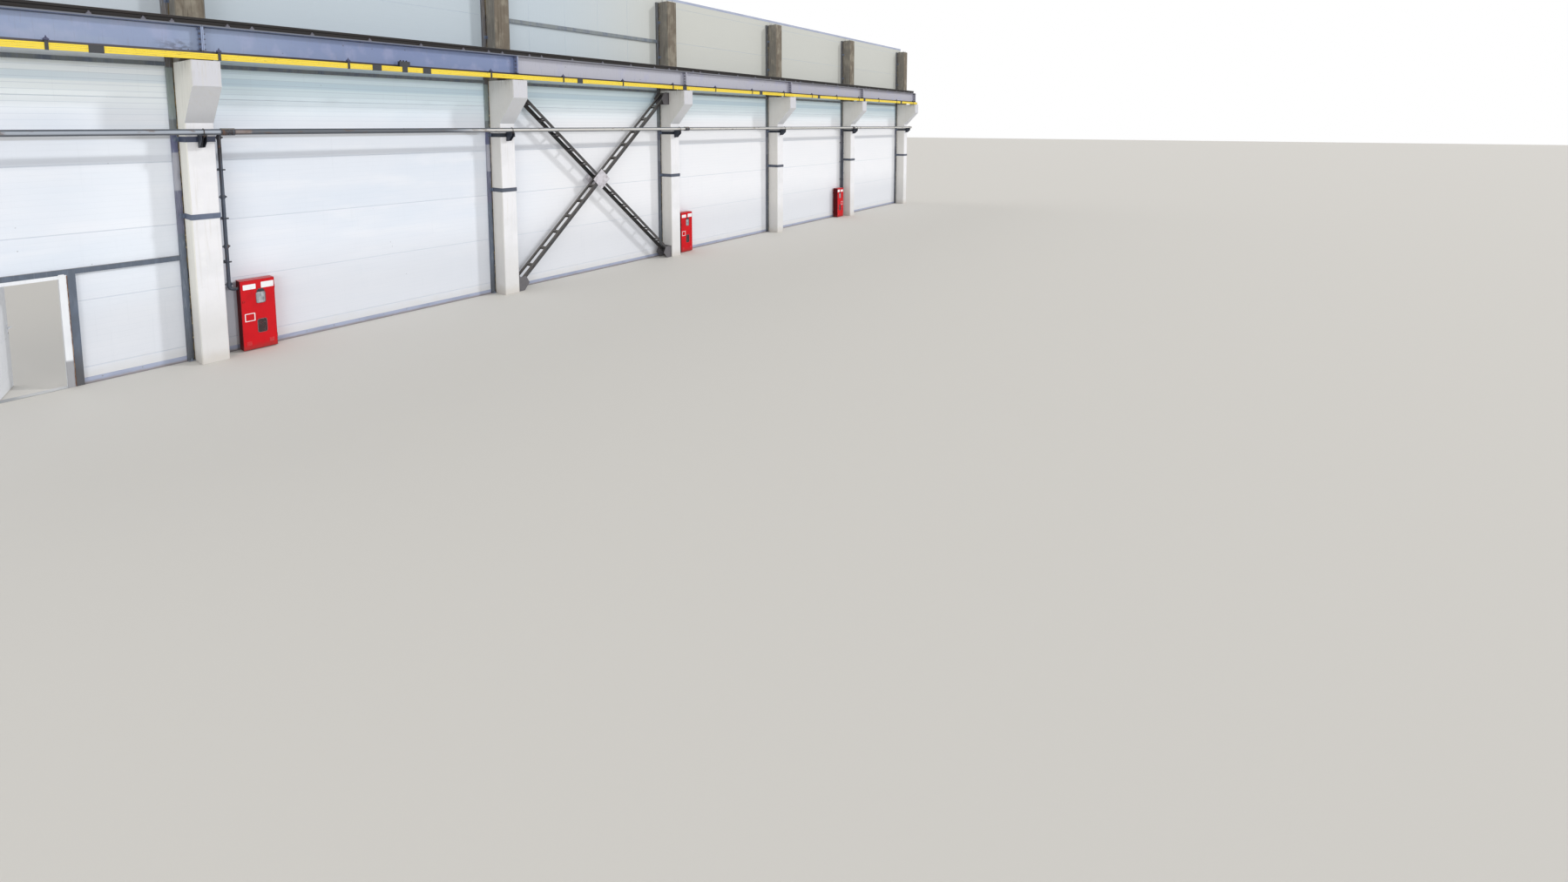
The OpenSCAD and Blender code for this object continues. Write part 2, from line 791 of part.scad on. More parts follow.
// Open-fronted sheet box with a shelf, held off the panels by two rails.
module fire_cabinet(k) {
    t = cabinet_t;
    color(red_paint)
        at_cabinet(k) {
            difference() {
                block([0, body_front, 0], [cabinet_w, cabinet_rear, cabinet_h]);
                block([t, body_front - 1, t], [cabinet_w - t, cabinet_rear - t, shelf_z]);
                block([t, body_front - 1, shelf_z + t], [cabinet_w - t, cabinet_rear - t, cabinet_h - t]);
            }
            for (z = rail_heights)
                block([rail_inset, cabinet_rear, z], [cabinet_w - rail_inset, panel_in, z + rail_inset]);
            for (z = cabinet_hinge_z)
                translate([cabinet_w + cabinet_pin_x, cabinet_pin_y, z]) {
                    cylinder(h = cabinet_knuckle_h, r = cabinet_knuckle_r);
                    cylinder(h = 1.9 * cabinet_knuckle_h, r = cabinet_pin_r);
                    block([-cabinet_pin_x, 0, 0],
                          [-cabinet_pin_x + cabinet_hinge_t, cabinet_hinge_l, cabinet_knuckle_h]);
                }
        }
}

// A rounded window through the door, from z up by h.
module window(x, z, w, h, r) {
    translate([x, cabinet_front - 1, z])
        rotate([90, 0, 0])
            mirror([0, 0, 1])
                linear_extrude(cabinet_door_d + 2)
                    union() {
                        translate([r, 0]) square([w - 2 * r, h]);
                        translate([0, r]) square([w, h - 2 * r]);
                        for (p = [[r, r], [w - r, r], [r, h - r], [w - r, h - r]])
                            translate(p) circle(r = r);
                    }
}

// Folded sheet door with two windows, each with a raised rim behind it.
module cabinet_door(k) {
    t = cabinet_t;
    y0 = cabinet_front;
    y1 = cabinet_front + cabinet_door_d;
    x = window_x;
    openings = [[window_up_z, window_up_h], [window_low_z, window_low_h]];
    color(red_paint)
        at_cabinet(k)
            difference() {
                union() {
                    difference() {
                        block([0, y0, 0], [cabinet_w, y1, cabinet_h]);
                        block([t, y0 + t, t], [cabinet_w - t, y1 + 1, cabinet_h - t]);
                    }
                    for (o = openings)
                        block([x - window_rim, y0 + t / 2, o[0] - window_rim],
                              [x + window_w + window_rim, y0 + 2 * t, o[0] + o[1] + window_rim]);
                    rod(knob[1], [knob[0], y0 + t, cabinet_h * 0.7], [knob[0], y0 - knob[2], cabinet_h * 0.7]);
                    for (z = cabinet_hinge_z)
                        translate([cabinet_w + cabinet_pin_x, cabinet_pin_y, z + cabinet_knuckle_h + 1]) {
                            cylinder(h = cabinet_knuckle_h, r = cabinet_knuckle_r);
                            block([-cabinet_pin_x - 1, -cabinet_door_d / 2, 0],
                                  [-cabinet_pin_x + cabinet_hinge_t, 0, cabinet_knuckle_h]);
                        }
                }
                for (o = openings)
                    window(x, o[0], window_w, o[1], window_r);
                for (z = cabinet_hinge_z)
                    translate([cabinet_w + cabinet_pin_x, cabinet_pin_y, z + cabinet_knuckle_h])
                        cylinder(h = cabinet_knuckle_h + 2, r = cabinet_pin_r + pin_play);
            }
}

// One branch of a diagonal: an angle with its flat leg outwards and its other leg on top.
module branch(x0, x1, side) {
    out = side * brace_spread / 2;
    leg = brace_leg / 2;
    along_x(x0, x1)
        polygon([
            [out, -leg], [out, leg], [out - side * brace_leg, leg],
            [out - side * brace_leg, leg - brace_t], [out - side * brace_t, leg - brace_t],
            [out - side * brace_t, -leg]
        ]);
}

// A run of two branches with battens across them, from x0 to x1 along the diagonal.
module lattice(x0, x1) {
    inner = brace_spread / 2;
    count = max(2, round((x1 - x0) / batten_pitch));
    for (side = [-1, 1])
        branch(x0, x1, side);
    for (k = [0:count])
        let (x = x0 + batten_w / 2 + k * (x1 - x0 - batten_w) / count, h = brace_leg / 2) {
            block([x - batten_w / 2, -inner, h - brace_t], [x + batten_w / 2, inner, h]);
            block([x - batten_w / 2, -inner, -h], [x + batten_w / 2, inner, -h + brace_t]);
        }
}

// Turns the (X, Z) plane so that X runs up one diagonal of the braced bay.
module on_diagonal(rising) {
    x0 = grid_x(braced_bay) + column_w / 2;
    translate([x0, 0, rising ? brace_low : brace_high])
        rotate([0, rising ? -brace_angle : brace_angle, 0])
            children();
}

module brace_rising() {
    color("#4b4a4d")
        on_diagonal(true)
            lattice(brace_end_clear, brace_l - brace_end_clear);
}

module brace_falling() {
    color("#4b4a4d")
        on_diagonal(false) {
            lattice(brace_end_clear, brace_l / 2 - brace_cross_gap);
            lattice(brace_l / 2 + brace_cross_gap, brace_l - brace_end_clear);
        }
}

// Gusset pair at one end of a diagonal, with the plate that fixes it to the column.
module end_gusset(from_left, low) {
    y0 = brace_spread / 2;
    x = from_left ? grid_x(braced_bay) + column_w / 2 : grid_x(braced_bay + 1) - column_w / 2;
    z0 = low ? 0 : brace_high - end_plate_h;
    inward = from_left ? 1 : -1;
    far = low ? z0 + end_plate_h : z0;
    near = low ? z0 : z0 + end_plate_h;
    translate([x, 0, 0]) {
        block([min(0, inward * end_base_t), -y0 - 2 * brace_t, z0],
              [max(0, inward * end_base_t), y0 + 2 * brace_t, z0 + end_plate_h]);
        for (y = [-y0 - brace_t, y0])
            translate([0, y + brace_t, 0])
                rotate([90, 0, 0])
                    linear_extrude(brace_t)
                        polygon([
                            [inward * end_base_t / 2, near], [inward * end_gusset_l * 0.55, near],
                            [inward * end_gusset_l, (near + far) / 2], [inward * end_gusset_l * 0.7, far],
                            [inward * end_base_t / 2, far]
                        ]);
    }
}

module brace_gussets() {
    y0 = brace_spread / 2;
    side = gusset_side / 2;
    color("#c9c6c4") {
        for (from_left = [true, false], low = [true, false])
            end_gusset(from_left, low);
        on_diagonal(true)
            for (y = [-y0 - brace_t, y0])
                block([brace_l / 2 - side, y, -side], [brace_l / 2 + side, y + brace_t, side]);
    }
}

for (i = [0:column_count - 1])
    column(i);
column_plates();
column_straps();
for (i = [0:bay_count - 1])
    crane_girder(i);
crane_rail();
conductor_bars();
conductor_fittings();
wall_posts();
wall_girts();
door_trimmers();
panels_bay_1_left();
panels_bay_1_right();
panels_bay_1_over();
for (i = [1:bay_count - 1])
    panels_bay(i);
foot_flashing();
outer_flashings();
door_frame();
door_leaf();
fire_main();
main_brackets();
fire_risers();
for (k = [0:cabinet_count - 1])
    fire_cabinet(k);
for (k = [0:cabinet_count - 1])
    cabinet_door(k);
brace_rising();
brace_falling();
brace_gussets();
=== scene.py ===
"""Dresses the long side wall of a crane hall: columns, girder, cladding, doorway, pipes and bracing.

The CAD solids stay where they are and get their finishes here. Clips, bolts, seals and small
fittings that the solids leave out are modelled piece by piece and ride on the body that carries them.
"""

import json
import logging
import math
from contextlib import contextmanager
from dataclasses import dataclass, replace
from enum import Enum
from typing import Callable, Iterator, Sequence

import bpy
from mathutils import Euler, Matrix, Vector


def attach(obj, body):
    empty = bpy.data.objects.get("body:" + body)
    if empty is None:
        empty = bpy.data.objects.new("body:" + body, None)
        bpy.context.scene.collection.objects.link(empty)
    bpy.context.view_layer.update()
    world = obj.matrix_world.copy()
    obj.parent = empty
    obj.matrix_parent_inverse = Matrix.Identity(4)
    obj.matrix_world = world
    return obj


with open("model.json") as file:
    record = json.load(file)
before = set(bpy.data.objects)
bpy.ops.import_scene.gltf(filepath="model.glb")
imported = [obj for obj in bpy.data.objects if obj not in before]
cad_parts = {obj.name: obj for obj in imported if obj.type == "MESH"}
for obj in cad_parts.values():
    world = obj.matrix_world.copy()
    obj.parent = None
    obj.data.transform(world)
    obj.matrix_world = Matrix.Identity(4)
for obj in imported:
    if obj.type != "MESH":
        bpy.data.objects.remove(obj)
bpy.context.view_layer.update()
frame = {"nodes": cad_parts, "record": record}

LOG = logging.getLogger("hall_wall")
Point = tuple[float, float, float]
Span = tuple[float, float]
Piece = bpy.types.Object
Socket = bpy.types.NodeSocket
Tree = bpy.types.NodeTree

# The wall's fixed lines in metres, as the CAD frame has them.
GRID: tuple[float, ...] = (-18.0, -12.0, -6.0, 0.0, 6.0, 12.0, 18.0)
COLUMN_HALF = 0.2
COLUMN_REAR = 0.23
PANEL_IN = 0.29
PANEL_OUT = 0.39
COLUMN_TOP = 8.4
GIRDER_Y = -0.645
GIRDER_FOOT = 5.64
GIRDER_TOP = 6.13
BAR_Y = -0.87
MAIN_Y = -0.43
MAIN_Z = 4.27
MAIN_R = 0.054

# Air between a fitting and the face it sits on, so that the two don't flicker.
AIR = 0.0003


# Finishes


def linear(code: str) -> tuple[float, float, float, float]:
    """Turns a written sRGB colour into the linear values that the shader takes.

    Args:
        code: colour such as "#c8101c".

    Returns:
        Red, green, blue and a full alpha.
    """
    parts = [int(code[i:i + 2], 16) / 255 for i in (1, 3, 5)]
    red, green, blue = (p / 12.92 if p <= 0.04045 else ((p + 0.055) / 1.055) ** 2.4 for p in parts)
    return red, green, blue, 1.0


def add_node(tree: Tree, kind: str, settings: dict | None = None,
             inputs: dict | None = None) -> bpy.types.Node:
    """Adds one node with its settings and its links.

    Args:
        tree: node tree that takes the node.
        kind: the node's type name.
        settings: attributes of the node.
        inputs: a socket to link, or a plain value, for each input's name or place.

    Returns:
        The new node.
    """
    node = tree.nodes.new(kind)
    for key, value in (settings or {}).items():
        setattr(node, key, value)
    for key, value in (inputs or {}).items():
        if isinstance(value, Socket):
            tree.links.new(value, node.inputs[key])
        else:
            node.inputs[key].default_value = value
    return node


def compute(tree: Tree, operation: str,
            *values: Socket | float) -> Socket:
    """Adds a math node that works on sockets or plain values, and returns the result's socket."""
    return add_node(tree, "ShaderNodeMath", {"operation": operation}, dict(enumerate(values))).outputs[0]


class Axis(Enum):
    """A direction in the wall's frame."""

    X = 0
    Y = 1
    Z = 2


class Pattern(Enum):
    """What decides where a mark lies."""

    CLOUDS = "soft patches, or streaks where the patch is long"
    SPOTS = "round specks"
    RIBS = "even lines across an axis"
    SHEETS = "one value for each cell of a grid"
    REACH = "a place along an axis"
    FACING = "the way that the surface looks"
    EDGES = "outer edges"


@dataclass(frozen=True)
class Mask:
    """Where a mark lies, as a value from 0 to 1.

    Attributes:
        pattern: what decides the place.
        low: pattern value that gives 0.
        high: pattern value that gives 1.
        size: size of one patch or cell along each axis, in millimetres.
        axis: axis of ribs, a reach or a facing.
        start: where a grid or the ribs start, in metres.
        wobble: how far a reach's border wanders, in metres.
        detail: fineness of a cloud.
        within: a mask that limits this one.
    """

    pattern: Pattern
    low: float
    high: float
    size: Point = (500.0, 500.0, 500.0)
    axis: Axis = Axis.Z
    start: Point = (0.0, 0.0, 0.0)
    wobble: float = 0.0
    detail: float = 3.0
    within: "Mask | None" = None

    def __and__(self, border: "Mask") -> "Mask":
        """Returns this mask, held within one more."""
        return replace(self, within=self.within & border if self.within else border)

    def socket(self, tree: Tree, place: Socket) -> Socket:
        """Builds the nodes of this mask.

        Args:
            tree: the material's node tree.
            place: the Object coordinates.

        Returns:
            The socket that carries the mask's value.
        """
        per_metre = [1000.0 / s for s in self.size]
        shift = [-a * b for a, b in zip(self.start, per_metre)]
        cells = None
        if self.pattern in (Pattern.CLOUDS, Pattern.SPOTS, Pattern.SHEETS) or self.wobble:
            cells = add_node(tree, "ShaderNodeMapping", {},
                             {"Vector": place, "Scale": per_metre, "Location": shift}).outputs[0]
        if self.pattern is Pattern.CLOUDS:
            value = add_node(tree, "ShaderNodeTexNoise", {}, {
                "Vector": cells, "Scale": 1.0, "Detail": self.detail, "Roughness": 0.55}).outputs[0]
        elif self.pattern is Pattern.SPOTS:
            value = add_node(tree, "ShaderNodeTexVoronoi", {}, {
                "Vector": cells, "Scale": 1.0}).outputs[0]
        elif self.pattern is Pattern.SHEETS:
            whole = add_node(tree, "ShaderNodeVectorMath", {"operation": "FLOOR"}, {0: cells}).outputs[0]
            value = add_node(tree, "ShaderNodeTexWhiteNoise", {}, {"Vector": whole}).outputs[0]
        elif self.pattern is Pattern.EDGES:
            rounded = add_node(tree, "ShaderNodeBevel", {"samples": 4}, {"Radius": self.size[0] / 1000})
            true = add_node(tree, "ShaderNodeNewGeometry")
            value = add_node(tree, "ShaderNodeVectorMath", {"operation": "DOT_PRODUCT"},
                             {0: rounded.outputs[0], 1: true.outputs["Normal"]}).outputs["Value"]
        else:
            source = place
            if self.pattern is Pattern.FACING:
                source = add_node(tree, "ShaderNodeNewGeometry").outputs["Normal"]
            apart = add_node(tree, "ShaderNodeSeparateXYZ", {}, {0: source})
            value = apart.outputs[self.axis.value]
            if self.pattern is Pattern.RIBS:
                pitch = self.size[self.axis.value] / 1000
                moved = compute(tree, "SUBTRACT", value, self.start[self.axis.value])
                value = compute(tree, "PINGPONG", moved, pitch / 2)
                value = compute(tree, "DIVIDE", value, pitch / 2)
            elif self.wobble:
                drift = add_node(tree, "ShaderNodeTexNoise", {}, {
                    "Vector": cells, "Scale": 1.0, "Detail": self.detail}).outputs[0]
                value = compute(tree, "MULTIPLY_ADD", drift, 2 * self.wobble, value)
                value = compute(tree, "SUBTRACT", value, self.wobble)
        value = add_node(tree, "ShaderNodeMapRange", {"interpolation_type": "SMOOTHSTEP"},
                         {"Value": value, "From Min": self.low, "From Max": self.high}).outputs[0]
        if self.within:
            value = compute(tree, "MULTIPLY", value, self.within.socket(tree, place))
        return value


def even(size: Point | float) -> Point:
    """Returns a size for each axis, where one number stands for all three."""
    return (size, size, size) if isinstance(size, (int, float)) else size


def along_x(low: float, high: float) -> Mask:
    """Returns a mask that fades in along the wall between two places in metres."""
    return Mask(Pattern.REACH, low, high, axis=Axis.X)


def along_y(low: float, high: float) -> Mask:
    """Returns a mask that fades in across the wall between two places in metres."""
    return Mask(Pattern.REACH, low, high, axis=Axis.Y)


def along_z(low: float, high: float) -> Mask:
    """Returns a mask that fades in between two heights in metres."""
    return Mask(Pattern.REACH, low, high)


def band_x(a: float, b: float, c: float, d: float) -> Mask:
    """Returns a mask that fades in along the wall from a to b and out from c to d."""
    return along_x(a, b) & along_x(d, c)


def band_z(a: float, b: float, c: float, d: float) -> Mask:
    """Returns a mask that fades in over the heights from a to b and out from c to d."""
    return along_z(a, b) & along_z(d, c)


def ragged(low: float, high: float, size: Point | float, wobble: float) -> Mask:
    """Returns a mask that fades in between two heights, with a border that wanders by wobble metres."""
    return Mask(Pattern.REACH, low, high, even(size), wobble=wobble)


def facing(low: float, high: float, axis: Axis = Axis.Z) -> Mask:
    """Returns a mask that fades in as the surface turns to look along an axis."""
    return Mask(Pattern.FACING, low, high, axis=axis)


def clouds(low: float, high: float, size: Point | float, detail: float = 3.0) -> Mask:
    """Returns a mask of soft patches of a size in millimetres."""
    return Mask(Pattern.CLOUDS, low, high, even(size), detail=detail)


def spots(low: float, high: float, size: float) -> Mask:
    """Returns a mask of round specks, one to each cell of a size in millimetres."""
    return Mask(Pattern.SPOTS, low, high, even(size))


def edges(low: float, high: float, radius: float) -> Mask:
    """Returns a mask of the outer edges, as wide as a radius in millimetres."""
    return Mask(Pattern.EDGES, low, high, even(radius))


HALL_FACE = facing(-0.4, -0.9, Axis.Y)
YARD_FACE = facing(0.4, 0.9, Axis.Y)
LEFT_FACE = facing(-0.4, -0.9, Axis.X)
TOP_FACE = facing(0.5, 0.9)


@dataclass(frozen=True)
class Mark:
    """A change of colour and gloss on a finish.

    Attributes:
        where: the mask it follows.
        colour: sRGB colour of the mark.
        strength: how far the mark covers what is under it.
        roughness: roughness of the mark, if it differs.
    """

    where: Mask
    colour: str
    strength: float = 1.0
    roughness: float | None = None


@dataclass(frozen=True)
class Relief:
    """A rise of the surface in millimetres where a mask lies."""

    where: Mask
    height: float


@dataclass(frozen=True)
class Finish:
    """A surface of one real material.

    Attributes:
        name: the material's plain name.
        colour: sRGB base colour.
        roughness: base roughness.
        metallic: 1 for bare metal.
        coat: weight of a clear glossy film.
        shine: specular level, 0.5 for most paints and plastics.
        transmission: how much light goes through.
        marks: marks in the order in which they are laid on.
        reliefs: rises and dents of the surface.
    """

    name: str
    colour: str
    roughness: float
    metallic: float = 0.0
    coat: float = 0.0
    shine: float = 0.5
    transmission: float = 0.0
    marks: tuple[Mark, ...] = ()
    reliefs: tuple[Relief, ...] = ()

    def material(self) -> bpy.types.Material:
        """Returns the finish's material, which is built the first time."""
        found = bpy.data.materials.get(self.name)
        if found:
            return found
        material = bpy.data.materials.new(self.name)
        material.use_nodes = True
        tree = material.node_tree
        tree.nodes.clear()
        place = add_node(tree, "ShaderNodeTexCoord").outputs["Object"]
        skin = add_node(tree, "ShaderNodeBsdfPrincipled", {}, {
            "Base Color": linear(self.colour), "Roughness": self.roughness, "Metallic": self.metallic,
            "Coat Weight": self.coat, "Specular IOR Level": self.shine,
            "Transmission Weight": self.transmission})
        colour: Socket | tuple = linear(self.colour)
        rough: Socket | float = self.roughness
        for mark in self.marks:
            amount = compute(tree, "MULTIPLY", mark.where.socket(tree, place), mark.strength)
            colour = add_node(tree, "ShaderNodeMix", {"data_type": "RGBA"},
                              {0: amount, 6: colour, 7: linear(mark.colour)}).outputs[2]
            if mark.roughness is not None:
                rough = add_node(tree, "ShaderNodeMix", {"data_type": "FLOAT"},
                                 {0: amount, 2: rough, 3: mark.roughness}).outputs[0]
        if isinstance(colour, Socket):
            tree.links.new(colour, skin.inputs["Base Color"])
        if isinstance(rough, Socket):
            tree.links.new(rough, skin.inputs["Roughness"])
        height: Socket | float = 0.0
        for relief in self.reliefs:
            rise = relief.where.socket(tree, place)
            height = compute(tree, "MULTIPLY_ADD", rise, relief.height / 1000, height)
        if self.reliefs:
            bump = add_node(tree, "ShaderNodeBump", {},
                            {"Strength": 1.0, "Distance": 1.0, "Height": height})
            tree.links.new(bump.outputs[0], skin.inputs["Normal"])
        add_node(tree, "ShaderNodeOutputMaterial", {}, {"Surface": skin.outputs[0]})
        return material


def dust_and_highlight_on_top(strength: float, colour: str = "#a39d93") -> Mark:
    """Hall dust that has settled on all that looks up; on the cabinets the pink top is also a painted
    highlight.
    """
    return Mark(TOP_FACE, colour, strength, 0.9)


def worn_and_highlit_edges(radius: float, colour: str, strength: float) -> Mark:
    """Paint rubbed through on the outer edges, in broken lengths, over a radius in millimetres; on the
    cabinets and the bracing the pale edges are also a painted highlight.
    """
    rubbed = edges(0.995, 0.9, radius)
    return Mark(rubbed & clouds(0.45, 0.62, 90.0), colour, strength, 0.6)


def upright_streaks(width: float, length: float, low: float, high: float) -> Mask:
    """Runs of dirt that water or dust has drawn down a wall, in millimetres."""
    return clouds(low, high, (width, width, length))


def grain(size: Point | float, height: float) -> tuple[Relief, ...]:
    """Fine unevenness of a surface, its size and height in millimetres."""
    return (Relief(clouds(0.3, 0.7, size), height),)


# Precast concrete, limewashed from the floor to the corbel: chalky and matt, with board-wide patches,
# trowel waves and pores. The upper shaft is bare and brown with age.
LIMEWASH = Finish(
    "limewashed_precast_concrete", "#e9e9ed", 0.88,
    marks=(
        Mark(clouds(0.42, 0.7, (700, 700, 500)), "#dcdde0", 0.5),
        Mark(clouds(0.5, 0.75, (120, 120, 160)), "#f2f2f2", 0.3),
        # Painted shade: the left faces are a darker beige; column 2's left faces get painted light, near
        # white.
        Mark(LEFT_FACE, "#dfdbcf", 0.55),
        Mark(LEFT_FACE & along_x(-11.0, -11.2), "#fbf9f0", 0.9),
        # Painted shade: faces that look down, as under the corbels, are greyer.
        Mark(facing(-0.3, -0.6), "#c3c6cb", 0.6),
        Mark(HALL_FACE & along_z(5.05, 5.08), "#c5c6ce", 0.8),
        Mark(upright_streaks(45, 900, 0.54, 0.72), "#cfccc4", 0.25),
        Mark(upright_streaks(30, 300, 0.52, 0.68) & along_z(5.1, 5.5), "#aca598", 0.4),
        Mark(ragged(1.6, 0.5, 300, 0.1), "#d3d2d1", 0.7),
        Mark(ragged(0.3, 0.02, 160, 0.1), "#bcb4a8", 0.45),
        Mark(spots(0.14, 0.05, 38) & clouds(0.5, 0.62, 260),
             "#b3afa7", 0.25),
        Mark(along_z(5.505, 5.53), "#817d76", 1.0, 0.93),
        Mark(HALL_FACE & along_z(5.52, 5.56), "#6f6558", 0.85),
        Mark(clouds(0.45, 0.68, (260, 260, 420)) & along_z(5.52, 5.56), "#a09a8c", 0.6),
        Mark(upright_streaks(40, 900, 0.5, 0.7) & along_z(5.52, 5.56), "#4f473d", 0.6),
    ),
    reliefs=(
        Relief(clouds(0.2, 0.8, 320), 2.0),
        Relief(clouds(0.3, 0.7, 22), 0.4),
        Relief(spots(0.18, 0.05, 38) & clouds(0.48, 0.6, 260), -0.9),
    ),
)

# Thick mild steel plate, primed and dirty: dull, dark, with dust on what looks up.
DARK_PLATE = Finish(
    "primed_mild_steel_plate", "#4a4e55", 0.6,
    marks=(
        Mark(clouds(0.45, 0.65, 120), "#5d4a40", 0.6, 0.8),
        worn_and_highlit_edges(4, "#8a5a3c", 0.7),
        dust_and_highlight_on_top(0.7),
    ),
    reliefs=grain(18, 0.3),
)

# Rolled steel in blue-grey primer, brushed on in lengths whose tone differs: satin, slightly streaky.
SLATE_STEEL = Finish(
    "slate_primed_rolled_steel", "#66738a", 0.5,
    marks=(
        Mark(clouds(0.42, 0.66, (160, 160, 500)), "#566277", 0.7),
        Mark(upright_streaks(14, 300, 0.5, 0.7), "#7e889b", 0.5),
        worn_and_highlit_edges(4, "#a7adb8", 0.5),
        dust_and_highlight_on_top(0.6),
    ),
    reliefs=grain((30, 30, 60), 0.25),
)

# The same primer over the rails between the posts, older and greyer: dull, with little blue left.
GIRT_STEEL = replace(SLATE_STEEL, name="grey_primed_rail_steel", colour="#777e80")

# The same primer on the straps, slate at breast height and almost black beside the main's brackets.
STRAP_STEEL = replace(
    SLATE_STEEL, name="dark_primed_strap_steel", colour="#5b667c",
    marks=(
        Mark(clouds(0.42, 0.66, 120), "#4d586c", 0.6),
        Mark(along_x(-9.0, -8.9), "#474d5a", 0.8),
        Mark(band_z(3.9, 4.0, 4.9, 5.0), "#333d58", 0.92),
        Mark(along_x(-9.0, -8.9) & band_z(3.9, 4.0, 4.9, 5.0), "#20262e", 0.9),
        worn_and_highlit_edges(3, "#a7adb8", 0.3),
        dust_and_highlight_on_top(0.5),
    ))

# The same primer round the doorway, kicked and dirty: dull slate, brown-grey near the floor.
TRIMMER_STEEL = replace(
    SLATE_STEEL, name="scuffed_primed_door_post_steel", colour="#525c6b",
    marks=(
        Mark(clouds(0.42, 0.66, (120, 120, 400)), "#5e6a7d", 0.6),
        Mark(upright_streaks(16, 240, 0.52, 0.7), "#6f7682", 0.35),
        Mark(ragged(0.9, 0.1, 200, 0.1), "#4b4744", 0.7, 0.7),
        worn_and_highlit_edges(4, "#9a8f88", 0.4),
        dust_and_highlight_on_top(0.6),
    ))

# The same primer on the wall posts, in lengths of differing tone: dark by the straps, pale lilac-grey
# between them, slate at the foot.
POST_STEEL = Finish(
    "slate_primed_post_steel", "#5d6879", 0.5,
    marks=(
        *(Mark(band_z(low, low + 0.04, high, high + 0.04), colour, 0.95) for low, high, colour in (
            (2.38, 3.18, "#66687f"), (3.18, 3.88, "#a5a6b2"), (3.88, 4.26, "#5a5e82"),
            (4.26, 4.48, "#6b7172"), (4.48, 5.41, "#8f9b99"))),
        Mark(along_z(5.41, 5.46), "#6a6460", 0.9),
        Mark(along_x(-3.5, -3.0), "#53575b", 0.7),
        Mark(clouds(0.45, 0.68, (120, 120, 420)), "#5f6775", 0.35),
        Mark(upright_streaks(16, 240, 0.52, 0.7), "#a2a8b2", 0.4),
        worn_and_highlit_edges(4, "#b5b9c0", 0.5),
        Mark(ragged(1.1, 0.2, (120, 120, 200), 0.12), "#4f5155", 0.7, 0.7),
    ),
    reliefs=grain((30, 30, 60), 0.25),
)

# Welded girder in oil paint: satin, a little wavy over the thin web, blue over the first two bays and a
# warm lilac-grey from the third column on. Dirt lies brown on what looks up, a dark brown line runs
# along the lower flange's edge and the web just over it, and the upper flange's edge shows as a dull
# grey line over a painted shadow line under it.
GIRDER_PAINT = Finish(
    "lilac_grey_oil_paint", "#8b9ab8", 0.42,
    marks=(
        Mark(clouds(0.42, 0.62, (1400, 500, 420)), "#7f8eb4", 0.5),
        Mark(along_x(-12.5, -9.5), "#6c7ba6", 0.65),
        Mark(along_x(-6.03, -5.97), "#b7b7c1", 0.9),
        Mark(along_x(1.0, 9.0), "#a9a8b4", 0.7),
        Mark(clouds(0.48, 0.7, (350, 300, 420)), "#a3a6c6", 0.35),
        Mark(upright_streaks(26, 420, 0.56, 0.72), "#7d8290", 0.3),
        Mark(spots(0.06, 0.03, 260), "#4e4a4c", 0.8),
        worn_and_highlit_edges(4, "#a9aebb", 0.5),
        Mark(TOP_FACE, "#7d766d", 0.75, 0.9),
        # A dark line along the lower flange's edge and the web just over it, darker from the second bay
        # on.
        Mark(ragged(5.7, 5.668, (300, 60, 20), 0.006), "#6c6f7d", 0.6),
        Mark(ragged(5.696, 5.686, (300, 60, 20), 0.003), "#4a423f", 0.85, 0.8),
        Mark(along_x(-12.0, -11.0) & along_z(5.696, 5.686), "#2d2423", 0.8),
        Mark(clouds(0.4, 0.6, (90, 60, 60)) & band_x(-12.7, -12.3, -12.2, -12.05)
             & along_z(5.9, 5.78),
             "#5d6069", 0.6, 0.8),
        Mark(along_z(6.104, 6.108) & facing(-0.5, -0.9, Axis.Y), "#67696f", 0.85, 0.7),
        # Painted shadow line on the web under the upper flange's edge.
        Mark(band_z(6.085, 6.095, 6.104, 6.106) & facing(-0.5, -0.9, Axis.Y), "#3e4047", 0.6),
    ),
    reliefs=(
        Relief(clouds(0.2, 0.8, (620, 620, 380), 1.0), 2.0),
        Relief(clouds(0.3, 0.7, 20), 0.15),
    ),
)

# Rolled crane rail: black-brown mill scale, with the head worn bright.
RAIL_STEEL = Finish(
    "mill_scaled_rail_steel", "#1c1919", 0.75,
    marks=(
        Mark(clouds(0.45, 0.66, (260, 60, 60)), "#2e2624", 0.6, 0.85),
        Mark(along_z(6.2585, 6.2595), "#8f8c88", 0.9, 0.3),
    ),
    reliefs=grain(14, 0.25),
)

# Extruded PVC sheath of the conductor bars: glossy yellow, greyed along its seams by collector dust.
YELLOW_SHEATH = Finish(
    "yellow_extruded_pvc", "#f4d836", 0.5,
    marks=(
        Mark(clouds(0.45, 0.7, (900, 200, 60)), "#e2bd2e", 0.6),
        Mark(clouds(0.6, 0.72, (60, 60, 20)), "#b18f2b", 0.5, 0.6),
        Mark(TOP_FACE, "#6b5f38", 0.6, 0.8),
        Mark(edges(0.99, 0.85, 2.5), "#c09a20", 0.6),
    ),
)

# Moulded black polyamide of the clamps and sleeves: dull sheen, grey with dust on top.
BLACK_MOULDING = Finish(
    "black_moulded_polyamide", "#25272d", 0.48,
    marks=(
        Mark(clouds(0.5, 0.7, 40), "#3a3d45", 0.6, 0.6),
        dust_and_highlight_on_top(0.5),
    ),
    reliefs=(Relief(clouds(0.35, 0.65, 6), 0.12),),
)


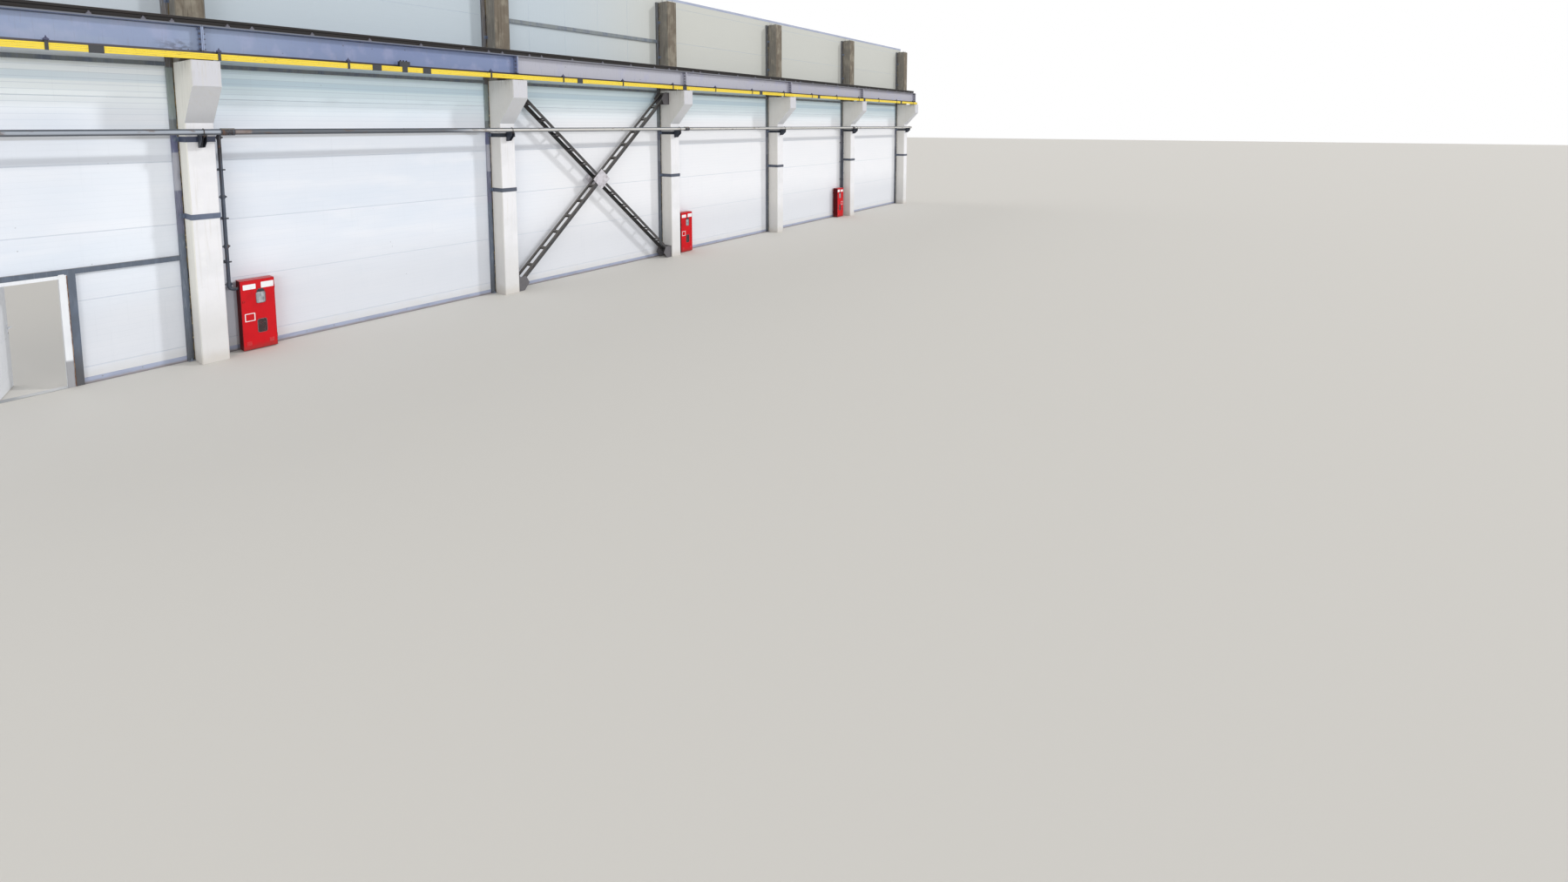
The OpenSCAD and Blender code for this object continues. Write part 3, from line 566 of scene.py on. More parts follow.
def panel_finish(name: str, upright_from: float | None = None) -> Finish:
    """Coated steel sheet of the sandwich panels: rolled with fine ribs along it, a satin bluish white.

    The ribs are 25 mm apart on the real sheet and too fine to show, so they are drawn 100 mm apart,
    with painted shade in them that is strongest under the girder. Each joint holds a thin line of dust.
    Sheets differ a little in tone, those over the girder are greyer as a painted shade, and a cut end
    shows the wool core. On the hall face, painted light and painted shadows stand in for the lamps.

    Args:
        name: the material's plain name.
        upright_from: height in metres above which the panels stand upright.

    Returns:
        The finish.
    """
    pitch, first = (1150.0, 1150.0, 1150.0), (-4.95, 0.0, 0.28)
    below = above = None
    if upright_from is not None:
        below = along_z(upright_from, upright_from - 0.001)
        above = along_z(upright_from - 0.001, upright_from)
    rib = Mask(Pattern.RIBS, 0.86, 0.97, even(100), start=(0, 0, 0.03), within=below)
    joint = Mask(Pattern.RIBS, 0.026, 0.012, pitch, start=first, within=below)
    ribs, joints = [rib], [joint]
    if above:
        ribs.append(replace(rib, axis=Axis.X, start=(0.03, 0, 0), within=above))
        joints.append(replace(joint, axis=Axis.X, within=above))
    under_girder = band_z(4.2, 4.9, 5.5, 5.6)
    core = tuple(
        Mark(facing(way * 0.9, way * 0.97, Axis.X) & along_y(0.291, 0.292) & along_y(0.389, 0.388),
             "#b7a373", 0.9, 0.95) for way in (-1, 1))
    # Marks of the hall face; most are painted light and shade that stand in for the hall's lamps.
    hall_side = (
        Mark(along_x(-7.0, -3.5), "#efeff2", 0.75),
        # Painted light: the first bay under the girder is whiter; from the second bay on it has a bluish
        # painted shade.
        Mark(along_z(4.5, 5.0) & along_x(-11.0, -12.5), "#f3fbff", 1.0),
        Mark(along_z(4.3, 5.3) & along_x(-12.3, -11.9), "#e2f6ff", 0.95),
        # Painted shadow band of the girder, and painted light over the first bay beside the second
        # column.
        Mark(band_z(5.12, 5.15, 5.26, 5.3), "#a9c8de", 0.35),
        Mark(band_x(-13.8, -13.0, -12.15, -12.1), "#eff4fb", 0.3),
        # Painted shadows of the main: a band below it, and a thin one right under it in the first two
        # bays.
        Mark(band_z(3.7, 3.74, 3.84, 3.88), "#b4bac6", 0.35),
        Mark(band_z(4.14, 4.16, 4.2, 4.22) & along_x(-6.4, -6.6), "#a7a4a3", 0.45),
        # Painted shade in the niche between the second column and its cabinet.
        Mark(along_z(1.36, 1.3) & band_x(-11.85, -11.8, -11.47, -11.44), "#999eb4", 0.85),
        Mark(ragged(2.2, 0.8, (900, 900, 300), 0.15), "#d3d6dd", 0.75),
        # Painted shade over the girder, warmer from the third bay on.
        Mark(ragged(5.5, 6.3, (900, 900, 500), 0.2), "#adb7c0", 0.85),
        Mark(along_x(-5.0, 1.0) & along_z(5.7, 6.3), "#c3c2b9", 0.8),
        # Painted shade in the ribs under the girder.
        Mark(replace(rib, within=under_girder), "#9fb0c6", 0.3),
    )
    weather = (
        Mark(upright_streaks(60, 2600, 0.5, 0.72), "#b9c0c8", 0.35),
        Mark(Mask(Pattern.RIBS, 0.3, 0.0, pitch, start=(0.0, 0.0, 0.13)), "#c3c9d0", 0.4),
        Mark(ragged(0.9, 0.1, (500, 500, 300), 0.2), "#b5ada1", 0.6, 0.75),
    )
    return Finish(
        name, "#e1e6ef", 0.5,
        marks=(
            Mark(Mask(Pattern.SHEETS, 0.0, 1.0, (6000, 9000, 1150), start=(0, 0, 0.28)), "#d9e0eb", 0.5),
            Mark(clouds(0.42, 0.68, (2600, 2600, 900)), "#d5dfec", 0.4),
            Mark(clouds(0.45, 0.7, (1800, 1800, 420)), "#ebedf3", 0.4),
        ) + tuple(replace(mark, where=mark.where & HALL_FACE) for mark in hall_side)
        + tuple(replace(mark, where=mark.where & YARD_FACE) for mark in weather) + (
            Mark(upright_streaks(50, 1500, 0.58, 0.78), "#bcc3cb", 0.1),
            Mark(ragged(0.35, 0.03, (260, 260, 160), 0.1), "#c9c4bb", 0.4, 0.7),
            Mark(spots(0.03, 0.015, 420), "#8d8f94", 0.6),
        # Painted shade in the ribs, then dark lines at the joints.
        ) + tuple(Mark(line, "#b3bdcc", 0.07) for line in ribs)
        + tuple(Mark(line, "#b9c2cf", 0.3) for line in joints) + core,
        reliefs=tuple(Relief(line, -0.5) for line in ribs) + (
            Relief(clouds(0.2, 0.8, (900, 900, 420), 1.0), 1.6),
        ),
    )


PANEL_SHEET = panel_finish("polyester_coated_panel_sheet")
UPRIGHT_PANEL_SHEET = panel_finish("polyester_coated_upright_sheet", upright_from=5.4925)

# Folded sheet of the flashings in a lilac-grey coat: satin, scuffed and dusty along the floor.
FLASHING = Finish(
    "lilac_coated_flashing_sheet", "#a3abc2", 0.45,
    marks=(
        Mark(clouds(0.42, 0.66, (500, 500, 60)), "#8f97ae", 0.6),
        Mark(ragged(0.05, 0.0, 140, 0.02), "#988e87", 0.8, 0.85),
        worn_and_highlit_edges(3, "#c9ccd6", 0.5),
    ),
)

# White powder coat of the door and its frame: even, satin, with grey hand marks, and grey over the foot
# of the right jamb on the hall side.
DOOR_WHITE = Finish(
    "white_powder_coated_door_steel", "#e6e9ee", 0.38,
    marks=(
        Mark(clouds(0.5, 0.75, (300, 300, 500)), "#dcdfe6", 0.6),
        Mark(ragged(0.49, 0.43, 120, 0.02) & along_x(-13.95, -13.9) & along_y(0.27, 0.26),
             "#85858a", 0.85, 0.6),
        Mark(upright_streaks(45, 1300, 0.5, 0.8), "#c3c6cd", 0.3),
        worn_and_highlit_edges(3, "#8b6a52", 0.5),
    ),
)

# Oil-painted steel tube of the main: grey, with a painted highlight as a pale line along its front,
# paler and warmer from the third bay on, and painted shade on its upper flanks and underside. Over the
# second bay it is dark, without the painted highlight, and it is rusty beside one joint.
MAIN_PAINT = Finish(
    "grey_oil_painted_tube", "#5d636d", 0.5,
    marks=(
        Mark(clouds(0.42, 0.66, (700, 80, 80)), "#7d828a", 0.5),
        # Painted highlight along the front, paler and warmer from the third bay on.
        Mark(facing(-0.78, -0.97, Axis.Y), "#adb5c1", 0.75),
        Mark(facing(-0.7, -0.95, Axis.Y) & along_x(-7.6, -6.4), "#cfccc6", 0.85),
        # Dark over the second bay, without the painted highlight.
        Mark(band_x(-11.35, -11.3, -7.8, -7.0), "#474b52", 0.85),
        Mark(band_x(-11.62, -11.58, -11.34, -11.3), "#7b6558", 0.7, 0.85),
        # Painted shade on the upper flanks.
        Mark(facing(0.35, 0.75), "#474f59", 0.75),
        Mark(clouds(0.6, 0.68, (260, 50, 50)), "#6b5646", 0.6, 0.85),
        Mark(facing(0.9, 0.99), "#8b8a88", 0.5, 0.85),
        # Painted shade on the underside.
        Mark(facing(-0.35, -0.75), "#555a62", 0.75),
    ),
    reliefs=grain(25, 0.3),
)

# Near-black paint on the brackets of the main: dull, with dust on what looks up.
BRACKET_BLACK = Finish(
    "black_oil_painted_steel", "#2c323d", 0.5,
    marks=(
        Mark(clouds(0.45, 0.66, 60), "#3b4252", 0.6),
        worn_and_highlit_edges(4, "#6c727d", 0.6),
        dust_and_highlight_on_top(0.6),
    ),
)

# Dark paint on the risers, brown by the main and slate lower down.
RISER_PAINT = Finish(
    "dark_oil_painted_tube", "#3c4350", 0.46,
    marks=(
        Mark(ragged(2.9, 4.1, (200, 200, 300), 0.3), "#2a2323", 0.85),
        Mark(upright_streaks(20, 500, 0.5, 0.68), "#5c6778", 0.6),
        Mark(clouds(0.58, 0.7, (70, 70, 160)), "#6a4d3c", 0.6, 0.85),
        dust_and_highlight_on_top(0.5),
    ),
    reliefs=grain(25, 0.25),
)

# Red powder coat of the hose cabinets: glossy, a fine orange peel, scuffed at the foot; painted shade
# darkens the left sides, and the pale edges and pink top are worn paint and dust with a painted
# highlight.
CABINET_RED = Finish(
    "red_powder_coated_sheet", "#c80a18", 0.42, shine=0.2,
    marks=(
        Mark(clouds(0.45, 0.7, (260, 260, 380)), "#b30616", 0.5),
        # Painted shade on the left sides, dull.
        Mark(LEFT_FACE, "#35080c", 0.9, 0.75),
        Mark(upright_streaks(16, 200, 0.6, 0.74), "#8d1620", 0.3),
        Mark(ragged(0.16, 0.02, 70, 0.05), "#7c3a37", 0.55, 0.6),
        # Pale edges and pink top: worn paint and dust, with a painted highlight.
        worn_and_highlit_edges(3, "#e2736c", 0.5),
        dust_and_highlight_on_top(0.6, "#c98a8c"),
    ),
    reliefs=(Relief(clouds(0.35, 0.65, 5), 0.05),),
)

# The same coat on the cabinets' doors, with a painted shade of the gap along their edges all round.
CABINET_DOOR_RED = replace(
    CABINET_RED, name="red_powder_coated_door",
    marks=(Mark(edges(0.998, 0.94, 14), "#5c0710", 0.75),) + CABINET_RED.marks)

# Bracing steel in old dark primer: rusty and black inside, with painted light, a grey tone, on what
# faces the hall, and pale edges that are worn paint and a painted highlight.
BRACE_STEEL = Finish(
    "rusty_primed_bracing_steel", "#29292b", 0.7,
    marks=(
        Mark(clouds(0.45, 0.62, (180, 120, 120)), "#4b3f3a", 0.6, 0.85),
        # Painted light on the faces that look to the hall.
        Mark(facing(-0.5, -0.9, Axis.Y), "#5a5c5f", 0.3),
        Mark(along_z(4.9, 5.0), "#1b191a", 0.8),
        Mark(clouds(0.5, 0.66, 90), "#2a2627", 0.6),
        # Pale edges: worn paint and a painted highlight.
        worn_and_highlit_edges(4, "#c3c4c4", 0.6),
        dust_and_highlight_on_top(0.45, "#b0aca4"),
    ),
    reliefs=grain(20, 0.3),
)

# Pale oil paint brushed over the gusset at the crossing: matt, with rust at the welds. The gussets at
# the four ends are in dark primer.
GUSSET_PAINT = Finish(
    "pale_oil_painted_plate", "#cac7ce", 0.55,
    marks=(
        Mark(clouds(0.48, 0.68, 110), "#aeaab0", 0.6),
        Mark(clouds(0.6, 0.7, 60), "#85695a", 0.45, 0.85),
        worn_and_highlit_edges(4, "#8d7c74", 0.5),
        Mark(along_z(4.3, 4.35), "#39373a", 0.85, 0.7),
        Mark(along_z(1.2, 1.15), "#39373a", 0.85, 0.7),
        dust_and_highlight_on_top(0.4),
    ),
)

SLOT_FINISH: dict[str, Finish] = {
    "painted_concrete": LIMEWASH,
    "steel_plates": DARK_PLATE,
    "blue_grey_steel": SLATE_STEEL,
    "girder_paint": GIRDER_PAINT,
    "rail_steel": RAIL_STEEL,
    "conductor_yellow": YELLOW_SHEATH,
    "conductor_black": BLACK_MOULDING,
    "panel_sheet": PANEL_SHEET,
    "flashing_sheet": FLASHING,
    "door_white": DOOR_WHITE,
    "pipe_paint": MAIN_PAINT,
    "bracket_black": BRACKET_BLACK,
    "riser_paint": RISER_PAINT,
    "cabinet_red": CABINET_RED,
    "brace_steel": BRACE_STEEL,
    "gusset_steel": GUSSET_PAINT,
}
NODE_FINISH: dict[str, Finish] = {
    "wall_posts": POST_STEEL,
    "wall_girts": GIRT_STEEL,
    "column_straps": STRAP_STEEL,
    "door_trimmers": TRIMMER_STEEL,
    "panels_bay_3": UPRIGHT_PANEL_SHEET,
} | {f"cabinet_door_{number}": CABINET_DOOR_RED for number in (1, 2, 3)}


def dress_frame() -> None:
    """Gives each CAD node the finish of its slot, or its own where it has one."""
    for row in frame["record"]["subparts"]:
        node, slot = row["node"], row["material_slot"]
        finish = NODE_FINISH.get(node, SLOT_FINISH[slot])
        target = frame["nodes"][node]
        if not target.material_slots:
            target.data.materials.append(None)
        for place in target.material_slots:
            place.material = finish.material()
        LOG.info("%s: %s", node, finish.name)


# Stage


@dataclass(frozen=True)
class Camera:
    """The photograph's camera.

    Attributes:
        place: where it stands, in metres.
        yaw: its turn from +X towards +Y, in degrees.
        pitch: how far it looks down, in degrees.
        lens: focal length in millimetres.
        frame_wide: width of the frame in millimetres.
        shift: vertical shift of the frame.
    """

    place: Point = (-15.459, -15.624, 4.395)
    yaw: float = 35.33
    pitch: float = 4.656
    lens: float = 14.854
    frame_wide: float = 36.0
    shift: float = -0.168

    def build(self) -> None:
        """Adds the camera and makes it the scene's."""
        data = bpy.data.cameras.new("hall_camera")
        data.lens, data.sensor_width, data.shift_y = self.lens, self.frame_wide, self.shift
        data.clip_end = 500.0
        camera = bpy.data.objects.new("hall_camera", data)
        camera.location = self.place
        camera.rotation_euler = Euler((math.radians(90 - self.pitch), 0.0, math.radians(self.yaw - 90)))
        bpy.context.scene.collection.objects.link(camera)
        bpy.context.scene.camera = camera


@dataclass(frozen=True)
class Stage:
    """Floor, lamps and surroundings.

    Attributes:
        floor_colour: sRGB colour of the floor.
        floor_wide: width of the floor.
        fill: strength of the even light from all round.
    """

    floor_colour: str = "#dedbd5"
    floor_wide: float = 400.0
    fill: float = 0.58

    def build(self) -> None:
        """Adds the floor, the lamps and the world."""
        Bench.clear()
        bpy.ops.mesh.primitive_plane_add(size=self.floor_wide, location=(0.0, 0.0, -0.002))
        floor = Bench.settle("stage_floor")
        floor.data.materials.append(Finish("plain_stage_floor", self.floor_colour, 0.9).material())
        self.sun("key_lamp", (-0.85, 1.0, -0.66), 0.95, 5.0)
        self.sun("low_lamp", (-0.1, 1.0, -0.1), 0.5, 4.0)
        self.sun("left_lamp", (0.9, 1.0, -0.35), 0.6, 30.0)
        self.sun("yard_lamp", (0.45, -1.0, -0.8), 0.4, 40.0)
        world = bpy.data.worlds.new("hall_world")
        bpy.context.scene.world = world
        world.use_nodes = True
        tree = world.node_tree
        tree.nodes.clear()
        path = add_node(tree, "ShaderNodeLightPath")
        seen = compute(tree, "ADD", path.outputs["Is Camera Ray"], path.outputs["Is Glossy Ray"])
        seen = add_node(tree, "ShaderNodeMath", {"operation": "ADD", "use_clamp": True},
                        {0: seen, 1: path.outputs["Is Transmission Ray"]}).outputs[0]
        strength = add_node(tree, "ShaderNodeMix", {"data_type": "FLOAT"},
                            {0: seen, 2: self.fill, 3: 1.0}).outputs[0]
        back = add_node(tree, "ShaderNodeBackground", {}, {"Color": (1, 1, 1, 1), "Strength": strength})
        add_node(tree, "ShaderNodeOutputWorld", {}, {"Surface": back.outputs[0]})

    @staticmethod
    def sun(name: str, direction: Point, strength: float, spread: float) -> None:
        """Adds a far soft lamp.

        Args:
            name: the lamp's name.
            direction: the way its light goes.
            strength: its strength in W/m2.
            spread: the angle that it fills, in degrees.
        """
        data = bpy.data.lights.new(name, "SUN")
        data.energy, data.angle = strength, math.radians(spread)
        lamp = bpy.data.objects.new(name, data)
        lamp.rotation_euler = Vector(direction).to_track_quat("-Z", "Y").to_euler()
        lamp.location = (4.0, -20.0, 16.0)
        bpy.context.scene.collection.objects.link(lamp)


# Bench


class Element(Enum):
    """What a pick in edit mode selects."""

    VERTS = (True, False, False)
    EDGES = (False, True, False)
    FACES = (False, False, True)


Pick = Callable[[Vector, Vector], bool]

# Cosine from which a face or an edge counts as lying along a direction.
ALONG = 0.9


def every(middle: Vector, way: Vector) -> bool:
    """Picks everything."""
    return True


def looks(x: float, y: float, z: float) -> Pick:
    """Picks the faces that look along a direction."""
    way = Vector((x, y, z))
    return lambda middle, normal: normal.dot(way) > ALONG


def runs(axis: Axis) -> Pick:
    """Picks the edges that run along an axis."""
    return lambda middle, way: abs(way[axis.value]) > ALONG


FRONT, BACK, UP, RIGHT = looks(0, -1, 0), looks(0, 1, 0), looks(0, 0, 1), looks(1, 0, 0)


class Bench:
    """Modelling moves made with Blender's own operators."""

    @staticmethod
    def clear() -> None:
        """Deselects everything."""
        bpy.ops.object.select_all(action="DESELECT")

    @staticmethod
    def take(obj: Piece) -> None:
        """Makes a piece the only one selected and the active one."""
        Bench.clear()
        obj.select_set(True)
        bpy.context.view_layer.objects.active = obj

    @staticmethod
    def settle(name: str) -> Piece:
        """Names the active object and puts its place into its mesh.

        Args:
            name: the piece's name.

        Returns:
            The object, now at the origin.
        """
        made = bpy.context.object
        made.name = made.data.name = name
        bpy.ops.object.transform_apply(location=True, rotation=True, scale=True)
        return made

    @staticmethod
    def block(name: str, low: Point, high: Point) -> Piece:
        """Adds a box between two opposite corners.

        Args:
            name: the piece's name.
            low: its lowest corner.
            high: its highest corner.

        Returns:
            The box.
        """
        Bench.clear()
        lo, hi = Vector(low), Vector(high)
        bpy.ops.mesh.primitive_cube_add(size=1.0, location=(lo + hi) / 2, scale=hi - lo)
        return Bench.settle(name)

    @staticmethod
    def rod(name: str, start: Point, end: Point, radius: float, sides: int = 12) -> Piece:
        """Adds a round or many-sided bar.

        Args:
            name: the piece's name.
            start: middle of its first end.
            end: middle of its other end.
            radius: its radius.
            sides: number of its sides.

        Returns:
            The bar.
        """
        Bench.clear()
        a, b = Vector(start), Vector(end)
        bpy.ops.mesh.primitive_cylinder_add(
            vertices=sides, radius=radius, depth=(b - a).length, location=(a + b) / 2,
            rotation=(b - a).to_track_quat("Z", "Y").to_euler())
        return Bench.settle(name)

    @staticmethod
    @contextmanager
    def editing(obj: Piece, kind: Element, pick: Pick) -> Iterator[None]:
        """Opens edit mode with chosen elements selected, and closes it after.

        Args:
            obj: the piece to edit.
            kind: what is selected.
            pick: says by middle and normal (for an edge its direction) whether an element is selected.
        """
        Bench.take(obj)
        mesh = obj.data
        for group in (mesh.vertices, mesh.edges, mesh.polygons):
            group.foreach_set("select", [False] * len(group))
        if kind is Element.FACES:
            for face in mesh.polygons:
                face.select = pick(face.center, face.normal)
        elif kind is Element.EDGES:
            for edge in mesh.edges:
                a, b = (mesh.vertices[i].co for i in edge.vertices)
                edge.select = pick((a + b) / 2, (b - a).normalized())
        else:
            for vertex in mesh.vertices:
                vertex.select = pick(vertex.co, vertex.normal)
        bpy.context.tool_settings.mesh_select_mode = kind.value
        bpy.ops.object.mode_set(mode="EDIT")
        yield
        bpy.ops.object.mode_set(mode="OBJECT")

    @staticmethod
    def extrude(x: float, y: float, z: float) -> None:
        """Draws out what is selected in edit mode, along a vector."""
        bpy.ops.mesh.extrude_region_move(TRANSFORM_OT_translate={"value": (x, y, z)})

    @staticmethod
    def scale(obj: Piece, pick: Pick, x: float, y: float, z: float) -> None:
        """Scales the picked faces of a piece about their own middle."""
        with Bench.editing(obj, Element.FACES, pick):
            bpy.ops.transform.resize(value=(x, y, z))

    @staticmethod
    def inset(obj: Piece, pick: Pick, thickness: float, depth: float = 0.0) -> None:
        """Insets the picked faces of a piece.

        Args:
            obj: the piece.
            pick: says which faces.
            thickness: width of the border that is left.
            depth: how far the inner face rises.
        """
        with Bench.editing(obj, Element.FACES, pick):
            bpy.ops.mesh.inset(thickness=thickness, depth=depth)

    @staticmethod
    def round_corners(obj: Piece, axis: Axis, radius: float, segments: int) -> Piece:
        """Rounds the corners of a plate and returns it.

        Args:
            obj: the plate.
            axis: the axis along which it is thin.
            radius: radius of the corners.
            segments: number of facets of a corner.
        """
        with Bench.editing(obj, Element.EDGES, runs(axis)):
            bpy.ops.mesh.bevel(offset=radius, segments=segments, affect="EDGES")
        return obj

    @staticmethod
    def outward(obj: Piece) -> Piece:
        """Turns all faces of a piece outwards and returns it."""
        with Bench.editing(obj, Element.FACES, every):
            bpy.ops.mesh.select_all(action="SELECT")
            bpy.ops.mesh.normals_make_consistent(inside=False)
        return obj

    @staticmethod
    def bevel(obj: Piece, width: float, segments: int = 1, angle: float = 50.0) -> Piece:
        """Breaks all edges sharper than an angle, and applies the modifier.

        Args:
            obj: the piece.
            width: width of the broken edge.
            segments: number of facets.
            angle: edges under this angle in degrees stay.

        Returns:
            The piece.
        """
        Bench.take(obj)
        turn = obj.modifiers.new("edges", "BEVEL")
        turn.width, turn.segments, turn.limit_method = width, segments, "ANGLE"
        turn.angle_limit = math.radians(angle)
        bpy.ops.object.modifier_apply(modifier=turn.name)
        return obj

    @staticmethod
    def smooth(obj: Piece, angle: float = 35.0) -> Piece:
        """Shades a piece smooth below an angle in degrees and returns it."""
        Bench.take(obj)
        bpy.ops.object.shade_smooth_by_angle(angle=math.radians(angle))
        return obj

    @staticmethod
    def join(name: str, parts: Sequence[Piece]) -> Piece:
        """Joins parts into one piece.

        Args:
            name: the piece's name.
            parts: the parts.

        Returns:
            The piece.
        """
        Bench.clear()
        for part in parts:
            part.select_set(True)
        bpy.context.view_layer.objects.active = parts[0]
        if len(parts) > 1:
            bpy.ops.object.join()
        return Bench.settle(name)

    @staticmethod
    def repeat(name: str, model: Piece, places: Sequence[Matrix]) -> Piece:
        """Copies a model to each place, each copy with its own mesh, and joins the copies.

        Args:
            name: the piece's name.
            model: what is copied.
            places: a matrix for each copy.

        Returns:
            The piece.
        """
        copies = []
        for place in places:
            copy = model.copy()
            copy.data = model.data.copy()
            copy.matrix_world = place
            bpy.context.scene.collection.objects.link(copy)
            copies.append(copy)
        bpy.data.objects.remove(model)
        return Bench.join(name, copies)


def steps(first: float, pitch: float, count: int) -> tuple[float, ...]:
    """Returns evenly spaced places in metres."""
    return tuple(round(first + k * pitch, 3) for k in range(count))


def at(x: float, y: float, z: float, turn: float = 0.0, axis: str = "Z") -> Matrix:
    """Returns a place with a turn in degrees about one axis."""
    return Matrix.Translation((x, y, z)) @ Matrix.Rotation(math.radians(turn), 4, axis)


def hand_over(piece: Piece, finish: Finish, body: str = "wall") -> None:
    """Gives a piece its finish and the body that carries it.

    Args:
        piece: the finished mesh.
        finish: its surface.
        body: the CAD body it rides on.
    """
    piece.data.materials.clear()
    piece.data.materials.append(finish.material())
    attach(piece, body)
    LOG.info("%s: %d faces on %s", piece.name, len(piece.data.polygons), body)


def fit(name: str, model: Piece, places: Sequence[Matrix], finish: Finish) -> None:
    """Copies a model to its places on the wall and hands the piece over."""
    hand_over(Bench.repeat(name, model, places), finish)


# Finishes of the added pieces

# Hot-dip zinc on bolts, nuts and washers: pale grey with a faint spangle, dull where dust sits.
ZINC = Finish(
    "hot_dip_zinc", "#a8abae", 0.42, metallic=0.7,
    marks=(
        Mark(spots(0.2, 0.6, 12), "#8d9195", 0.6, 0.55),
        Mark(clouds(0.56, 0.7, 60), "#7b5a45", 0.5, 0.8),
        dust_and_highlight_on_top(0.45),
    ),
)

# Black mild steel of clips and dark bolts: mill scale with rust in patches.
BLACK_STEEL = Finish(
    "black_mild_steel", "#34322f", 0.6, metallic=0.2,
    marks=(
        Mark(clouds(0.45, 0.62, 40), "#5d4030", 0.7, 0.85),
        dust_and_highlight_on_top(0.55),
    ),
    reliefs=grain(8, 0.2),
)

# Cast clips painted the girder's pale lilac, chipped at their corners.
CLIP_PAINT = Finish(
    "lilac_painted_cast_clip", "#676773", 0.6,
    marks=(
        Mark(clouds(0.48, 0.64, 50), "#77727c", 0.6),
        worn_and_highlit_edges(3, "#3d302b", 0.7),
        dust_and_highlight_on_top(0.15),
    ),
)

# Navy-painted steel of the grips over the bars: satin, dusty on top.
GRIP_PAINT = Finish(
    "navy_painted_steel", "#2d3157", 0.45,
    marks=(Mark(clouds(0.45, 0.65, 40), "#3d416b", 0.6), dust_and_highlight_on_top(0.45)),
)

# Black rubber of the gaskets: matt, bloomed grey in patches.
RUBBER = Finish(
    "black_epdm_rubber", "#1f2022", 0.75,
    marks=(Mark(clouds(0.5, 0.7, 50), "#36383b", 0.7, 0.85),),
    reliefs=(Relief(clouds(0.35, 0.65, 4), 0.08),),
)

# Grey rubber of the cabinets' window seals: matt and faded.
GREY_RUBBER = replace(RUBBER, name="faded_grey_rubber", colour="#6f6166")

# White enamelled plate, left bare: glossy, with a grey film and rubbed corners.
WHITE_ENAMEL = Finish(
    "white_enamelled_plate", "#eef0f2", 0.22, coat=0.4,
    marks=(
        Mark(clouds(0.5, 0.72, 60), "#d9dbe2", 0.6),
        worn_and_highlit_edges(2, "#a9aab2", 0.5),
    ),
)

# Frosted acrylic of the upper window: milky grey and soft, darker to one side.
FROSTED_PANE = Finish(
    "frosted_acrylic", "#8e9297", 0.35, coat=0.3,
    marks=(
        Mark(clouds(0.42, 0.62, (90, 90, 120)), "#b9bcc0", 0.75),
        Mark(clouds(0.52, 0.66, (50, 50, 70)), "#5c5f66", 0.6),
    ),
)

# Clear acrylic over a dark inside: near black with a red cast and a hard gloss.
CLEAR_PANE = Finish(
    "clear_acrylic_over_dark", "#2a1518", 0.12, coat=0.6,
    marks=(
        Mark(clouds(0.48, 0.64, 60), "#4d2328", 0.7),
        Mark(clouds(0.6, 0.7, 40), "#6f6a6c", 0.6),
    ),
)

# Polyurethane foam squeezed out of the seams: lumpy, straw-yellow where fresh, with brown-black patches
# that are a painted shade of the gap between column and post.
FOAM = Finish(
    "aged_polyurethane_foam", "#6f6248", 0.95,
    marks=(
        # Painted shade of the gap between column and post.
        Mark(clouds(0.45, 0.55, (60, 60, 140)), "#2f2a26", 0.9),
        Mark(clouds(0.6, 0.68, (50, 50, 90)), "#c2ae78", 0.85),
    ),
    reliefs=grain(12, 1.5),
)

# Rusty mastic between the door frame and its post: brown and crusted.
RUSTY_SEAM = Finish(
    "rust_stained_mastic", "#6b4b39", 0.9,
    marks=(Mark(clouds(0.45, 0.6, (40, 40, 110)), "#a08c78", 0.7),),
    reliefs=grain(9, 0.8),
)

# Brushed stainless steel of the threshold and the lock: fine lines, soft reflections.
STAINLESS = Finish(
    "brushed_stainless_steel", "#b9bbbd", 0.32, metallic=1.0,
    marks=(Mark(clouds(0.4, 0.6, (300, 300, 2)), "#9fa1a4", 0.5, 0.42),),
    reliefs=(Relief(clouds(0.4, 0.6, (200, 200, 1.5)), 0.02),),
)


# Small parts


@dataclass(frozen=True)
class HexBolt:
    """A hexagon bolt that stands on a face, along +Z from the origin.

    Attributes:
        across: width of its head across the corners.
        head: height of the head.
        washer: thickness of its washer.
        stud: length of thread past the head, for a nut on a stud.
    """

    across: float = 0.036
    head: float = 0.015
    washer: float = 0.004
    stud: float = 0.0

    def build(self, name: str, place: Matrix | None = None) -> Piece:
        """Builds the bolt, with a chamfered head, its washer and its stud.

        Args:
            name: the piece's name.
            place: where it stands, if not at the origin.

        Returns:
            The bolt.
        """
        body = Bench.rod(name, (0, 0, self.washer), (0, 0, self.washer + self.head), self.across / 2, 6)
        with Bench.editing(body, Element.FACES, UP):
            bpy.ops.mesh.inset(thickness=self.across * 0.09, depth=self.head * 0.12)
            if self.stud:
                bpy.ops.mesh.inset(thickness=self.across * 0.12)
                Bench.extrude(0, 0, self.stud)
        ring = Bench.rod(name + "_washer", (0, 0, 0), (0, 0, self.washer), self.across * 0.62, 12)
        Bench.inset(ring, UP, self.washer * 0.3, self.washer * 0.15)
        bolt = Bench.join(name, [body, ring])
        if place:
            bolt.matrix_world = place
        return bolt


